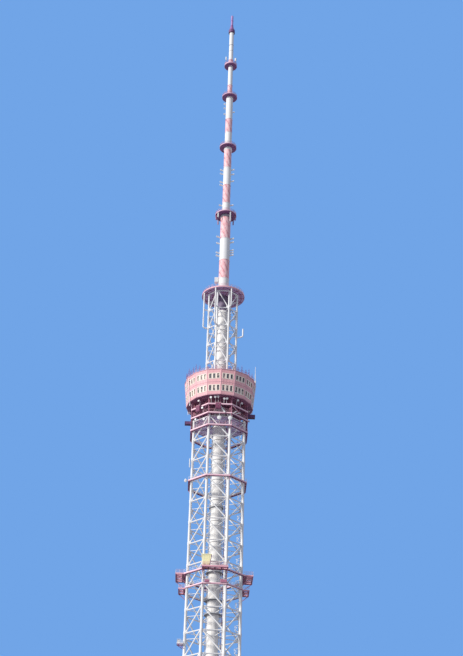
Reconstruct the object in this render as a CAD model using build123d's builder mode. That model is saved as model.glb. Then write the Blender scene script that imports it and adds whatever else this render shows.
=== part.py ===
from build123d import *
import os
from math import atan2, cos, degrees, hypot, radians, sin

# Lattice broadcasting tower, modelled at 1:10 in millimetres: 100 mm here is one metre of the real tower.
# The origin is on the ground on the tower's axis, +Z is up, and -Y is the side that faces the viewer.
os.makedirs("parts", exist_ok=True)

# Clearances
weld_gap = 0.3              # left between a bar or deck and the leg that it is welded to
ring_gap = 0.3              # left round a pipe where it passes through a plate

# Lower trunk, a regular octagon of tubular legs with flats that face the four sides
trunk_radius = 956.8        # axis of a leg from the axis of the tower
trunk_leg_size = 87.0
trunk_foot_z = 8250.0       # top of the junction ring that the trunk stands on
bay_height = 750.0
bay_count = 14
brace_size = 44.0           # horizontals and diagonals

# Central pipe with the lift, and the hoop and spokes that hold it at each level
pipe_radius = 200.0
pipe_wall = 20.0
hoop_radius = 216.0
hoop_thickness = 24.0       # height of a hoop and of its spokes
spoke_size = 26.0
# Round decks on the pipe: height of the underside, radius
pipe_deck_sizes = [(11960.0, 300.0), (12430.0, 300.0), (13370.0, 300.0), (15670.0, 248.0)]
pipe_deck_thickness = 18.0

# Raking legs below the trunk, with their feet on concrete plinths
foot_radius = 4500.0        # outer chord of a raking leg from the axis, at its foot
rake_depth_at_foot = 700.0
rake_depth_at_head = 300.0
rake_panel_count = 12
plinth_height = 60.0
plinth_margin = 150.0       # plinth beyond the chords that stand on it
pipe_plinth_radius = 380.0
junction_thickness = 100.0
junction_margin = 90.0      # junction ring beyond the legs' axes
junction_hole_radius = 520.0

# Drum with two storeys of windows
drum_sides = 16
drum_floor_z = 19461.0
drum_height = 961.0
drum_floor_radius = 1182.0
drum_roof_radius = 1275.0
slab_thickness = 30.0
wall_thickness = 20.0
middle_floor_height = 470.0
middle_floor_thickness = 20.0
window_width = 78.0
window_pitch = 140.0
windows_per_facet = 3
# Sill and head of each row of windows above the drum's underside
window_rows = [(155.0, 350.0), (615.0, 785.0)]
glass_thickness = 8.0
glass_margin = 20.0         # glass beyond the edge of a window
panel_joint = 0.6           # open joint between two wall panels

# Narrow decks round the trunk: height of the underside, how far a corner reaches beyond the leg, thickness
ring_decks = [(12735.0, 30.8, 40.0), (13195.0, 95.8, 45.0), (16480.0, 83.8, 50.0)]

# Open gallery under the drum, three narrow decks on posts
gallery_deck_levels = [18360.0, 18820.0, 19150.0]
gallery_deck_reach = 85.8   # how far a corner reaches beyond the leg
gallery_deck_thickness = 48.0
gallery_post_size = 26.0
# Cabinets on the gallery: turn of the side from the front, underside, offset along the side, width, depth, height
gallery_cabinets = [
    (0, 18950.0, -65.0, 190.0, 120.0, 225.0), (-45, 18950.0, 15.0, 190.0, 120.0, 225.0),
    (180, 18950.0, -65.0, 190.0, 120.0, 225.0), (135, 18950.0, 15.0, 190.0, 120.0, 225.0),
    (90, 19140.0, 0.0, 180.0, 260.0, 110.0), (-90, 18790.0, 0.0, 160.0, 210.0, 110.0),
]
dish_diameter = 150.0
dish_depth = 55.0
dish_pole_diameter = 20.0
dish_height = 265.0         # centre of a dish above the lowest gallery deck's underside
dish_offsets = [-15.0, 365.0]
dish_seat = 4.0             # how far a dish is let into its pole

# Balconies on the flats, outside the two lower ring decks, each an open frame with joists across
balcony_depth = 263.4       # beyond the edge of the deck
balcony_width = 860.0
balcony_joists = 3
balcony_bar = 45.0
low_balcony_depth = 210.0
low_balcony_width = 600.0
low_balcony_joists = 1
cabin_floor_width = 255.0
cabin_floor_depth = 190.0
cabin_flare = 45.0          # how far the walls lean out, on each side, at the top
cabin_height = 355.0
cabin_wall = 10.0
cabin_offset = -270.0       # centre of the cabin from the middle of the front balcony
cabin_edge_gap = 60.0       # from the balcony's edge to the foot of the cabin
side_platform_z = 10890.0
side_platform_length = 202.0
side_platform_width = 220.0
side_platform_thickness = 35.0

# Upper trunk and the disc on top of it
upper_radius = 567.0
upper_leg_size = 68.0
upper_bay_height = 738.0
upper_bay_count = 5
upper_brace_size = 38.0
disc_radius = 795.0
disc_z = 24120.0
disc_thickness = 55.0
# Aerial frames hung from the disc: turn from the front, foot of the post, heights of the ties
aerial_frames = [
    (-67.5, 22600.0, [22610.0, 23380.0]), (-22.5, 22600.0, [22610.0, 23380.0]), (22.5, 23350.0, [23380.0]),
    (157.5, 23350.0, [23380.0]),
]
frame_post_radius = 770.0
frame_bar_size = 30.0
# Single aerial post that stands on a tie from the right front leg
post_aerial_turn = 67.5
post_aerial_radius = 820.0
post_aerial_z = 22270.0
post_aerial_height = 340.0

# Aerial mast: length and diameter of each section, white and red by turns from the disc up
mast_sections = [
    (745.0, 395.0), (835.0, 390.0), (990.0, 390.0), (1115.0, 390.0),
    (590.0, 300.0), (880.0, 300.0), (870.0, 300.0), (1025.0, 300.0),
    (770.0, 280.0), (703.0, 280.0), (1182.0, 280.0),
    (660.0, 195.0), (1060.0, 195.0), (357.0, 182.0), (1543.0, 182.0),
]
mast_wall = 12.0
# Round platform on the top of a section, counted from 1: diameter, thickness
platforms = {4: (820.0, 45.0), 8: (675.0, 45.0), 11: (615.0, 45.0), 13: (520.0, 65.0), 15: (265.0, 157.0)}
cone_height = 290.0
cone_base_diameter = 190.0
tip_diameter = 100.0
tip_length = 553.0
# Aerial panels hung under the lowest platform: turn from the front, height
hung_panels = [(-80.0, 230.0), (50.0, 300.0), (78.0, 230.0), (128.0, 230.0), (180.0, 230.0), (-130.0, 230.0)]
panel_width = 45.0
panel_depth = 30.0
panel_edge_gap = 12.0
disc_aerial_radius = 285.0
disc_aerial_turns = [-90.0, 180.0]
disc_aerial_size = 110.0
disc_aerial_stem = 26.0
disc_aerial_heights = (590.0, 850.0)

# Values worked out from the sizes above
half_side = radians(22.5)
trunk_apothem = trunk_radius * cos(half_side)
trunk_side = 2 * trunk_radius * sin(half_side)
leg_corner = trunk_leg_size / 2 / cos(half_side)
leg_clear_radius = trunk_radius + leg_corner + weld_gap / cos(half_side)
trunk_levels = [trunk_foot_z + i * bay_height for i in range(1, bay_count + 1)]
drum_roof_z = drum_floor_z + drum_height
upper_apothem = upper_radius * cos(half_side)
upper_side = 2 * upper_radius * sin(half_side)
upper_leg_corner = upper_leg_size / 2 / cos(half_side)
upper_levels = [drum_roof_z + i * upper_bay_height for i in range(1, upper_bay_count)]
disc_top_z = disc_z + disc_thickness
facet_half_angle = radians(180 / drum_sides)


def save(piece, name):
    piece.part.label = name
    export_step(piece.part, f"parts/{name}.step")


def turned(piece, turn):
    """Copy of a finished piece, turned about the tower's axis."""
    with BuildPart() as copy:
        add(piece.part, rotation=(0, 0, turn))
    return copy


def bars(starts, run_x, run_y, width):
    """Flat outlines of like bars in a sketch, one from each start point along the same run."""
    with Locations(*[(x + run_x / 2, y + run_y / 2) for x, y in starts]):
        Rectangle(hypot(run_x, run_y), width, rotation=degrees(atan2(run_y, run_x)))


def lattice_side(apothem, side, leg_size, foot, levels, head, size, lean):
    """Flat side of the trunk towards the viewer: a horizontal at each level and a diagonal in each bay."""
    clear = side - leg_size - 2 * weld_gap
    bay = levels[0] - foot
    with BuildPart() as panel:
        with BuildSketch(Plane(origin=(0, -apothem, 0), x_dir=(1, 0, 0), z_dir=(0, -1, 0))):
            bars([(-clear / 2, z) for z in levels], clear, 0, size)
            bars([(-lean * clear / 2, z - bay) for z in levels], lean * clear, bay, size)
            bars([(-lean * clear / 2, levels[-1])], lean * clear, head - levels[-1], size)
            with Locations((0, (foot + head) / 2)):
                Rectangle(clear, head - foot, mode=Mode.INTERSECT)
        extrude(amount=size / 2, both=True)
    return panel


def octagon_legs(radius, size, foot, head):
    """Eight upright legs with flat faces towards their neighbours."""
    with BuildPart() as legs:
        with BuildSketch(Plane.XY.offset(foot)):
            with PolarLocations(radius, 8, start_angle=22.5, rotate=False):
                RegularPolygon(size / 2, 8, major_radius=False, rotation=22.5)
        extrude(amount=head - foot)
    return legs


def spoked_hoops(levels, reach):
    """Hoops round the central pipe, each held by eight spokes from the legs."""
    spoke_start = (pipe_radius + hoop_radius) / 2
    with BuildPart() as hoops:
        with BuildSketch(*[Plane.XY.offset(z) for z in levels]):
            with PolarLocations((spoke_start + reach) / 2, 8, start_angle=22.5):
                Rectangle(reach - spoke_start, spoke_size)
            Circle(hoop_radius)
            Circle(pipe_radius + ring_gap, mode=Mode.SUBTRACT)
        extrude(amount=hoop_thickness)
    return hoops


def octagon_deck(z, reach, thickness):
    """Narrow eight-sided deck that runs round outside the trunk's legs."""
    with BuildPart() as deck:
        with BuildSketch(Plane.XY.offset(z)):
            RegularPolygon(leg_clear_radius + reach, 8, rotation=22.5)
            RegularPolygon(leg_clear_radius, 8, rotation=22.5, mode=Mode.SUBTRACT)
        extrude(amount=thickness)
    return deck


def balcony_frames(start, depth, width, joists, sides, z, thickness):
    """Open frames that reach out from opposite or all four sides, with joists between their ends."""
    pitch = (width - balcony_bar) / (joists + 1)
    with BuildPart() as frames:
        with BuildSketch(Plane.XY.offset(z)):
            with PolarLocations(start + depth / 2, sides):
                Rectangle(depth, width)
                with GridLocations(0, pitch, 1, joists + 1):
                    Rectangle(depth - 2 * balcony_bar, pitch - balcony_bar, mode=Mode.SUBTRACT)
        extrude(amount=thickness)
    return frames


# Concrete plinths on the ground
plinth_centre = foot_radius - rake_depth_at_foot / 2
with BuildPart() as leg_plinths:
    with BuildSketch():
        with PolarLocations(plinth_centre, 4):
            Rectangle(rake_depth_at_foot + 2 * plinth_margin, trunk_side + 2 * plinth_margin)
    extrude(amount=plinth_height)
save(leg_plinths, "leg_plinths")

with BuildPart() as pipe_plinth:
    with BuildSketch():
        Circle(pipe_plinth_radius)
    extrude(amount=plinth_height)
save(pipe_plinth, "pipe_plinth")

# Raking legs, each a box lattice of four chords that stand under the ends of one flat of the trunk
rake_rise = trunk_foot_z - junction_thickness - plinth_height
rake_run = foot_radius - trunk_apothem


def chord_point(inner, share):
    """Point on an outer or inner chord, as distance from the axis and height, from foot 0 to head 1."""
    depth = rake_depth_at_foot + (rake_depth_at_head - rake_depth_at_foot) * share
    return foot_radius - rake_run * share - inner * depth, plinth_height + rake_rise * share


with BuildPart() as raking_leg:
    shares = [i / rake_panel_count for i in range(rake_panel_count + 1)]
    side_walls = [Plane(origin=(0, end * trunk_side / 2, 0), x_dir=(1, 0, 0), z_dir=(0, -1, 0)) for end in (-1, 1)]
    with BuildSketch(*side_walls):
        for inner in (0, 1):
            (r0, z0), (r1, z1) = chord_point(inner, 0), chord_point(inner, 1)
            half_span = trunk_leg_size / 2 * hypot(r0 - r1, z1 - z0) / (z1 - z0)
            with BuildLine():
                Polyline((r0 - half_span, z0), (r0 + half_span, z0), (r1 + half_span, z1), (r1 - half_span, z1),
                         close=True)
            make_face()
    extrude(amount=trunk_leg_size / 2, both=True)
    with BuildSketch(*side_walls):
        for low, high in zip(shares, shares[1:]):
            (r0, z0), (r1, z1) = chord_point(0, low), chord_point(1, high)
            bars([(r0, z0)], r1 - r0, z1 - z0, brace_size)
            if high < 1:
                bars([(r1, z1)], chord_point(0, high)[0] - r1, 0, brace_size)
    extrude(amount=brace_size / 2, both=True)
    for inner in (0, 1):
        (r0, z0), (r1, z1) = chord_point(inner, 0), chord_point(inner, 1)
        rungs = [share * hypot(r0 - r1, z1 - z0) for share in shares[:-1]]
        with BuildSketch(Plane(origin=(r0, 0, z0), x_dir=(0, 1, 0), z_dir=(z1 - z0, 0, r0 - r1))):
            bars([(-trunk_side / 2, rung) for rung in rungs[1:]], trunk_side, 0, brace_size)
            bars([(-trunk_side / 2, rung) for rung in rungs[::2]], trunk_side, rungs[1], brace_size)
            bars([(trunk_side / 2, rung) for rung in rungs[1::2]], -trunk_side, rungs[1], brace_size)
        extrude(amount=brace_size / 2, both=True)
    with BuildSketch(Plane.XY.offset(plinth_height)):
        with Locations((foot_radius / 2, 0)):
            Rectangle(2 * foot_radius, 2 * trunk_side)
    extrude(amount=rake_rise, mode=Mode.INTERSECT)

for name, turn in (("right", 0), ("back", 90), ("left", 180), ("front", 270)):
    save(turned(raking_leg, turn), f"raking_leg_{name}")

# Junction ring that ties the raking legs to the trunk
with BuildPart() as junction_ring:
    with BuildSketch(Plane.XY.offset(trunk_foot_z - junction_thickness)):
        RegularPolygon(trunk_radius + junction_margin, 8, rotation=22.5)
        Circle(junction_hole_radius, mode=Mode.SUBTRACT)
    extrude(amount=junction_thickness)
save(junction_ring, "junction_ring")

# Central pipe from the ground to the top of the disc
with BuildPart() as central_pipe:
    with BuildSketch(Plane.XY.offset(plinth_height)):
        Circle(pipe_radius)
        Circle(pipe_radius - pipe_wall, mode=Mode.SUBTRACT)
    extrude(amount=disc_top_z - plinth_height)
save(central_pipe, "central_pipe")

with BuildPart() as pipe_decks:
    for z, radius in pipe_deck_sizes:
        with BuildSketch(Plane.XY.offset(z)):
            Circle(radius)
            Circle(pipe_radius + ring_gap, mode=Mode.SUBTRACT)
        extrude(amount=pipe_deck_thickness)
save(pipe_decks, "pipe_decks")

# Lower trunk
save(octagon_legs(trunk_radius, trunk_leg_size, trunk_foot_z, drum_floor_z), "trunk_legs")
save(spoked_hoops(trunk_levels, trunk_radius - leg_corner), "trunk_spokes")
trunk_sides = ["front", "front_right", "right", "back_right", "back", "back_left", "left", "front_left"]
leaning_sides = [lattice_side(trunk_apothem, trunk_side, trunk_leg_size, trunk_foot_z, trunk_levels,
                              drum_floor_z, brace_size, lean) for lean in (-1, 1)]
for i, name in enumerate(trunk_sides):
    save(turned(leaning_sides[i % 2], 45 * i), f"trunk_lattice_{name}")

# Ring decks round the trunk, and the gallery of three more under the drum
deck_pieces = [octagon_deck(*deck) for deck in ring_decks]
with BuildPart() as ring_deck_set:
    for deck in deck_pieces:
        add(deck.part)
save(ring_deck_set, "ring_decks")

gallery_pieces = [octagon_deck(z, gallery_deck_reach, gallery_deck_thickness) for z in gallery_deck_levels]
with BuildPart() as gallery_decks:
    for deck in gallery_pieces:
        add(deck.part)
save(gallery_decks, "gallery_decks")

gallery_corner = leg_clear_radius + gallery_deck_reach
gallery_apothem = gallery_corner * cos(half_side)
with BuildPart() as gallery_posts:
    for low, high in zip(gallery_deck_levels, gallery_deck_levels[1:] + [drum_floor_z]):
        with BuildSketch(Plane.XY.offset(low + gallery_deck_thickness)):
            with PolarLocations(gallery_corner - gallery_post_size, 8, start_angle=22.5):
                Rectangle(gallery_post_size, gallery_post_size)
        extrude(amount=high - low - gallery_deck_thickness)
save(gallery_posts, "gallery_posts")

with BuildPart() as cabinets:
    for turn, z, offset, width, depth, height in gallery_cabinets:
        with BuildSketch(Plane.XY.offset(z)):
            with PolarLocations(gallery_apothem + weld_gap + depth / 2, 1, start_angle=turn - 90):
                with Locations((0, offset)):
                    Rectangle(depth, width)
        extrude(amount=height)
save(cabinets, "gallery_cabinets")

# Covered dishes on poles between the two lower gallery decks, at the front and at the back
dish_z = gallery_deck_levels[0] + dish_height
pole_distance = gallery_apothem - dish_pole_diameter / 2
dish_face = gallery_apothem - dish_seat
with BuildPart() as gallery_dishes:
    for side in (-1, 1):
        for offset in dish_offsets:
            with BuildSketch(Plane.XY.offset(gallery_deck_levels[0] + gallery_deck_thickness)):
                with Locations((-side * offset, side * pole_distance)):
                    Circle(dish_pole_diameter / 2)
            extrude(amount=gallery_deck_levels[1] - gallery_deck_levels[0] - gallery_deck_thickness)
            with BuildSketch(Plane(origin=(-side * offset, side * dish_face, dish_z), z_dir=(0, side, 0))):
                Circle(dish_diameter / 2)
            extrude(amount=dish_depth)
save(gallery_dishes, "gallery_dishes")

# Balconies outside the upper and lower ring decks
low_deck_z, low_deck_reach, low_deck_thickness = ring_decks[0]
high_deck_z, high_deck_reach, high_deck_thickness = ring_decks[1]
high_edge = (leg_clear_radius + high_deck_reach) * cos(half_side) + weld_gap
low_edge = (leg_clear_radius + low_deck_reach) * cos(half_side) + weld_gap
save(balcony_frames(high_edge, balcony_depth, balcony_width, balcony_joists, 4, high_deck_z, high_deck_thickness),
     "upper_balconies")
save(balcony_frames(low_edge, low_balcony_depth, low_balcony_width, low_balcony_joists, 2, low_deck_z,
                    low_deck_thickness), "lower_balconies")

# Control cabin on the front balcony, with walls that lean out
cabin_foot_z = high_deck_z + high_deck_thickness
cabin_y = -(high_edge + balcony_depth - cabin_edge_gap - cabin_floor_depth / 2)


def cabin_outline(z, outset):
    """Rectangle of the cabin at the top or foot of its walls, grown by an outset."""
    with BuildSketch(Plane.XY.offset(z)) as outline:
        with Locations((cabin_offset, cabin_y)):
            Rectangle(cabin_floor_width + 2 * outset, cabin_floor_depth + 2 * outset)
    return outline.sketch


cabin_head_z = cabin_foot_z + cabin_height
with BuildPart() as cabin_walls:
    floor_outset = cabin_flare * cabin_wall / cabin_height
    loft([cabin_outline(cabin_foot_z, 0), cabin_outline(cabin_head_z, cabin_flare)])
    loft([cabin_outline(cabin_foot_z + cabin_wall, floor_outset - cabin_wall),
          cabin_outline(cabin_head_z, cabin_flare - cabin_wall)], mode=Mode.SUBTRACT)
save(cabin_walls, "cabin_walls")

with BuildPart() as cabin_roof:
    extrude(cabin_outline(cabin_head_z, cabin_flare), amount=cabin_wall)
save(cabin_roof, "cabin_roof")

# Small platform on the outer flat of the left front leg
with BuildPart() as side_platform:
    start = trunk_apothem + trunk_leg_size / 2 + weld_gap
    with BuildSketch(Plane.XY.offset(side_platform_z)):
        with Locations((-(start + side_platform_length / 2), -trunk_side / 2)):
            Rectangle(side_platform_length, side_platform_width)
    extrude(amount=side_platform_thickness)
save(side_platform, "side_platform")


# Drum
def drum_radius(height):
    """Corner of the drum's outer face at a height above its underside."""
    return drum_floor_radius + (drum_roof_radius - drum_floor_radius) * height / drum_height


def drum_shell(low, high, outset, inset):
    """Sixteen leaning facet panels between two heights, with their faces set in from the drum's outer face."""
    corner = cos(facet_half_angle)
    with BuildPart() as shell:
        for offset, mode in ((outset, Mode.ADD), (inset, Mode.SUBTRACT)):
            for height in (low, high):
                with BuildSketch(Plane.XY.offset(drum_floor_z + height)):
                    RegularPolygon(drum_radius(height) - offset / corner, drum_sides)
            loft(mode=mode)
        with Locations((0, 0, drum_floor_z + (low + high) / 2)):
            with PolarLocations(drum_roof_radius / 2, drum_sides):
                Box(drum_roof_radius, panel_joint, high - low, mode=Mode.SUBTRACT)
    return shell


def round_slab(radius, height, thickness, name):
    """Sixteen-sided slab with a hole for the central pipe."""
    with BuildPart() as slab:
        with BuildSketch(Plane.XY.offset(drum_floor_z + height)):
            RegularPolygon(radius, drum_sides)
            Circle(pipe_radius + ring_gap, mode=Mode.SUBTRACT)
        extrude(amount=thickness)
    save(slab, name)


glass_outset = wall_thickness + ring_gap
glass_inset = glass_outset + glass_thickness
middle_floor_radius = drum_radius(middle_floor_height) - (glass_inset + ring_gap) / cos(facet_half_angle)
round_slab(drum_floor_radius, 0, slab_thickness, "drum_floor")
round_slab(middle_floor_radius, middle_floor_height, middle_floor_thickness, "drum_middle_floor")
round_slab(drum_roof_radius, drum_height - slab_thickness, slab_thickness, "drum_roof")

wall_shell = drum_shell(slab_thickness, drum_height - slab_thickness, 0, wall_thickness)
with BuildPart() as drum_walls:
    add(wall_shell.part)
    for sill, head in window_rows:
        with Locations((0, 0, drum_floor_z + (sill + head) / 2)):
            with PolarLocations(drum_roof_radius, drum_sides, start_angle=degrees(facet_half_angle)):
                with GridLocations(0, window_pitch, 1, windows_per_facet):
                    Box(drum_roof_radius / 2, window_width, head - sill, mode=Mode.SUBTRACT)
save(drum_walls, "drum_walls")

glass_rows = [drum_shell(sill - glass_margin, head + glass_margin, glass_outset, glass_inset)
              for sill, head in window_rows]
with BuildPart() as drum_glass:
    for row in glass_rows:
        add(row.part)
save(drum_glass, "drum_glass")

# Upper trunk and disc
save(octagon_legs(upper_radius, upper_leg_size, drum_roof_z, disc_z), "upper_trunk_legs")
save(spoked_hoops(upper_levels, upper_radius - upper_leg_corner), "upper_trunk_spokes")
upper_sides = [lattice_side(upper_apothem, upper_side, upper_leg_size, drum_roof_z, upper_levels,
                            disc_z, upper_brace_size, lean) for lean in (-1, 1)]
with BuildPart() as upper_lattice:
    for i in range(8):
        add(upper_sides[i % 2].part, rotation=(0, 0, 45 * i))
save(upper_lattice, "upper_trunk_lattice")

with BuildPart() as top_disc:
    with BuildSketch(Plane.XY.offset(disc_z)):
        Circle(disc_radius)
        Circle(pipe_radius + ring_gap, mode=Mode.SUBTRACT)
    extrude(amount=disc_thickness)
save(top_disc, "top_disc")

# Aerial frames hung from the disc, each a post with ties to the nearest leg, and the single post on its tie
with BuildPart() as hung_frames:
    tie_start = upper_radius + upper_leg_corner + weld_gap
    for turn, foot, ties in aerial_frames:
        with BuildSketch(Plane.XY.offset(foot)):
            with PolarLocations(frame_post_radius, 1, start_angle=turn - 90):
                Rectangle(frame_bar_size, frame_bar_size)
        extrude(amount=disc_z - foot)
        with BuildSketch(*[Plane.XY.offset(z) for z in ties]):
            with PolarLocations((tie_start + frame_post_radius) / 2, 1, start_angle=turn - 90):
                Rectangle(frame_post_radius - tie_start, frame_bar_size)
        extrude(amount=frame_bar_size)
    with BuildSketch(Plane.XY.offset(post_aerial_z)):
        with PolarLocations((tie_start + post_aerial_radius) / 2, 1, start_angle=post_aerial_turn - 90):
            Rectangle(post_aerial_radius - tie_start, frame_bar_size)
        with PolarLocations(post_aerial_radius, 1, start_angle=post_aerial_turn - 90):
            Rectangle(frame_bar_size, frame_bar_size)
    extrude(amount=frame_bar_size)
    with BuildSketch(Plane.XY.offset(post_aerial_z)):
        with PolarLocations(post_aerial_radius, 1, start_angle=post_aerial_turn - 90):
            Rectangle(frame_bar_size, frame_bar_size)
    extrude(amount=post_aerial_height)
save(hung_frames, "hung_frames")

# Mast sections, white and red by turns
section_tops = [disc_top_z]
for length, diameter in mast_sections:
    section_tops.append(section_tops[-1] + length)
for colour, first in (("white", 0), ("red", 1)):
    with BuildPart() as sections:
        for i in range(first, len(mast_sections), 2):
            length, diameter = mast_sections[i]
            with BuildSketch(Plane.XY.offset(section_tops[i])):
                Circle(diameter / 2)
                Circle(diameter / 2 - mast_wall, mode=Mode.SUBTRACT)
            extrude(amount=length)
    save(sections, f"mast_{colour}_sections")

# Round platforms, each on the shoulder between two sections, and the last one a cap under the cone
with BuildPart() as mast_platforms:
    for section, (diameter, thickness) in platforms.items():
        with BuildSketch(Plane.XY.offset(section_tops[section])):
            Circle(diameter / 2)
            if section < len(mast_sections):
                Circle(mast_sections[section][1] / 2 + ring_gap, mode=Mode.SUBTRACT)
        extrude(amount=thickness)
save(mast_platforms, "mast_platforms")

cone_foot_z = section_tops[-1] + platforms[len(mast_sections)][1]
with BuildPart() as mast_cone:
    with BuildSketch(Plane.XY.offset(cone_foot_z)):
        Circle(cone_base_diameter / 2)
    with BuildSketch(Plane.XY.offset(cone_foot_z + cone_height)):
        Circle(tip_diameter / 2)
    loft()
save(mast_cone, "mast_cone")

with BuildPart() as tip_rod:
    with BuildSketch(Plane.XY.offset(cone_foot_z + cone_height)):
        Circle(tip_diameter / 2)
    extrude(amount=tip_length)
save(tip_rod, "tip_rod")

# Aerial panels hung round the edge of the lowest platform, and boxes on stems round the foot of the mast
lowest_platform = min(platforms)
with BuildPart() as mast_panels:
    panel_radius = platforms[lowest_platform][0] / 2 - panel_edge_gap - panel_depth / 2
    for turn, height in hung_panels:
        with BuildSketch(Plane.XY.offset(section_tops[lowest_platform] - height)):
            with PolarLocations(panel_radius, 1, start_angle=turn - 90):
                Rectangle(panel_depth, panel_width)
        extrude(amount=height)
save(mast_panels, "mast_panels")

with BuildPart() as disc_aerials:
    stem_top, box_top = disc_aerial_heights
    for turn in disc_aerial_turns:
        with BuildSketch(Plane.XY.offset(disc_top_z)):
            with PolarLocations(disc_aerial_radius, 1, start_angle=turn - 90):
                Rectangle(disc_aerial_stem, disc_aerial_stem)
        extrude(amount=stem_top)
        with BuildSketch(Plane.XY.offset(disc_top_z + stem_top)):
            with PolarLocations(disc_aerial_radius, 1, start_angle=turn - 90):
                Rectangle(disc_aerial_size, disc_aerial_size)
        extrude(amount=box_top - stem_top)
save(disc_aerials, "disc_aerials")
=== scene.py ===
import bpy
from math import atan2, cos, pi, radians, sin
from mathutils import Matrix, Vector


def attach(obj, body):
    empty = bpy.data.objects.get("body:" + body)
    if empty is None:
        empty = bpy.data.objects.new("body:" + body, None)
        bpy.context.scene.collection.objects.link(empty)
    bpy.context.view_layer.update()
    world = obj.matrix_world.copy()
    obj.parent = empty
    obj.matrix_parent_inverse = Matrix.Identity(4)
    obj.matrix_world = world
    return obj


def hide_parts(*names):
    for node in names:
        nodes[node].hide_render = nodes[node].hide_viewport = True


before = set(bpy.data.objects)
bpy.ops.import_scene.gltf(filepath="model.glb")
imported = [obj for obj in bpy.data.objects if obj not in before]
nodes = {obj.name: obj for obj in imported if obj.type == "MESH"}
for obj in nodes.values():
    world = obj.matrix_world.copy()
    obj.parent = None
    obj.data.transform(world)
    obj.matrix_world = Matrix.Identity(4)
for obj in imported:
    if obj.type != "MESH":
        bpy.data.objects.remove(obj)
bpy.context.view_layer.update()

scene = bpy.context.scene

# camera: the photograph's own place, pitch and tilt, in model metres and degrees
cameraSettings = {
    "distance": 38.939, "height": 0.16,
    "aroundTower": 0.8048,      # how far the camera stands to the left of the front
    "pitch": 30.1958, "turnRight": 0.506, "roll": 1.5975,
    "lens": 66.75, "sensor": 36, "farthest": 400,
}


def makeCamera(s):
    around = radians(s["aroundTower"])
    place = (-s["distance"] * sin(around), -s["distance"] * cos(around), s["height"])
    bpy.ops.object.camera_add(location=place)
    camera = bpy.context.object
    camera.name = "photoCamera"
    turn = Matrix.Rotation(-around - radians(s["turnRight"]), 3, "Z")
    tip = Matrix.Rotation(radians(90 + s["pitch"]), 3, "X")
    camera.rotation_euler = (turn @ tip @ Matrix.Rotation(radians(s["roll"]), 3, "Z")).to_euler()
    camera.data.lens = s["lens"]
    camera.data.sensor_width = s["sensor"]
    camera.data.clip_end = s["farthest"]
    scene.camera = camera


makeCamera(cameraSettings)

# studio: pale floor, pale blue background, one soft key from the left
studio = {
    "keyStrength": 3.95, "keyColour": (1.0, 0.965, 0.91), "keyAngle": 9.0,
    "keyFrom": (-0.77, -0.48, 0.43),
    "ambient": (0.42, 0.49, 0.64), "ambientStrength": 0.58,
    "background": (0.165, 0.375, 0.80),         # what the camera and the glass see
    "floorSize": 900.0, "floorLevel": -0.002,
    "floorColour": (0.72, 0.73, 0.74), "floorBounce": (0.60, 0.58, 0.60),
}


def feed(tree, node, inputs):
    # an input takes a fixed value, or the output of another node
    for key, value in inputs.items():
        if isinstance(value, bpy.types.NodeSocket):
            tree.links.new(value, node.inputs[key])
        else:
            node.inputs[key].default_value = value


def addNode(tree, kind, place, inputs=None, **props):
    node = tree.nodes.new("ShaderNode" + kind)
    node.location = place
    for key, value in props.items():
        setattr(node, key, value)
    feed(tree, node, inputs or {})
    return node


def rgba(colour):
    return (*colour, 1.0)


def eitherShader(tree, share, first, second, endKind):
    # two shaders mixed by a share, and the tree's output
    blend = addNode(tree, "MixShader", (0, 0), {0: share, 1: first.outputs[0], 2: second.outputs[0]})
    addNode(tree, endKind, (200, 0), {0: blend.outputs[0]})


def makeStudio(s):
    aim = Vector(s["keyFrom"]).to_track_quat("Z", "Y").to_euler()
    bpy.ops.object.light_add(type="SUN", rotation=aim)
    key = bpy.context.object
    key.name = "softKey"
    key.data.energy = s["keyStrength"]
    key.data.color = s["keyColour"]
    key.data.angle = radians(s["keyAngle"])

    scene.world = bpy.data.worlds.new("studioWorld")
    scene.world.use_nodes = True
    tree = scene.world.node_tree
    tree.nodes.clear()
    rays = addNode(tree, "LightPath", (-600, 200)).outputs
    seen = addNode(tree, "Math", (-400, 200), {0: rays["Is Camera Ray"], 1: rays["Is Glossy Ray"]},
                   operation="ADD", use_clamp=True)
    seenAll = addNode(tree, "Math", (-200, 200), {0: seen.outputs[0], 1: rays["Is Transmission Ray"]},
                      operation="ADD", use_clamp=True)
    soft = addNode(tree, "Background", (-200, 0), {0: rgba(s["ambient"]), 1: s["ambientStrength"]})
    shown = addNode(tree, "Background", (-200, -140), {0: rgba(s["background"]), 1: 1.0})
    eitherShader(tree, seenAll.outputs[0], soft, shown, "OutputWorld")

    bpy.ops.mesh.primitive_plane_add(size=s["floorSize"], location=(0, 0, s["floorLevel"]))
    floor = bpy.context.object
    floor.name = "studioFloor"
    paint = bpy.data.materials.new("studioFloorPaint")
    paint.use_nodes = True
    tree = paint.node_tree
    tree.nodes.clear()
    rays = addNode(tree, "LightPath", (-600, 200)).outputs
    bounced = addNode(tree, "BsdfDiffuse", (-200, 0), {0: rgba(s["floorBounce"])})
    seen = addNode(tree, "BsdfDiffuse", (-200, -140), {0: rgba(s["floorColour"])})
    eitherShader(tree, rays["Is Camera Ray"], bounced, seen, "OutputMaterial")
    floor.data.materials.append(paint)
    scene.view_settings.view_transform = "Standard"


makeStudio(studio)
print("camera and studio are set")


# short forms of the shader nodes that most finishes use; each gives back an output
def calc(tree, place, operation, *values):
    node = addNode(tree, "Math", place, dict(enumerate(values)), operation=operation)
    return node.outputs[0]


def blendOf(tree, place, share, first, second, how="MIX"):
    inputs = {0: share, 6: first, 7: second}        # the factor and the two colours
    return addNode(tree, "Mix", place, inputs, data_type="RGBA", blend_type=how).outputs[2]


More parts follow.
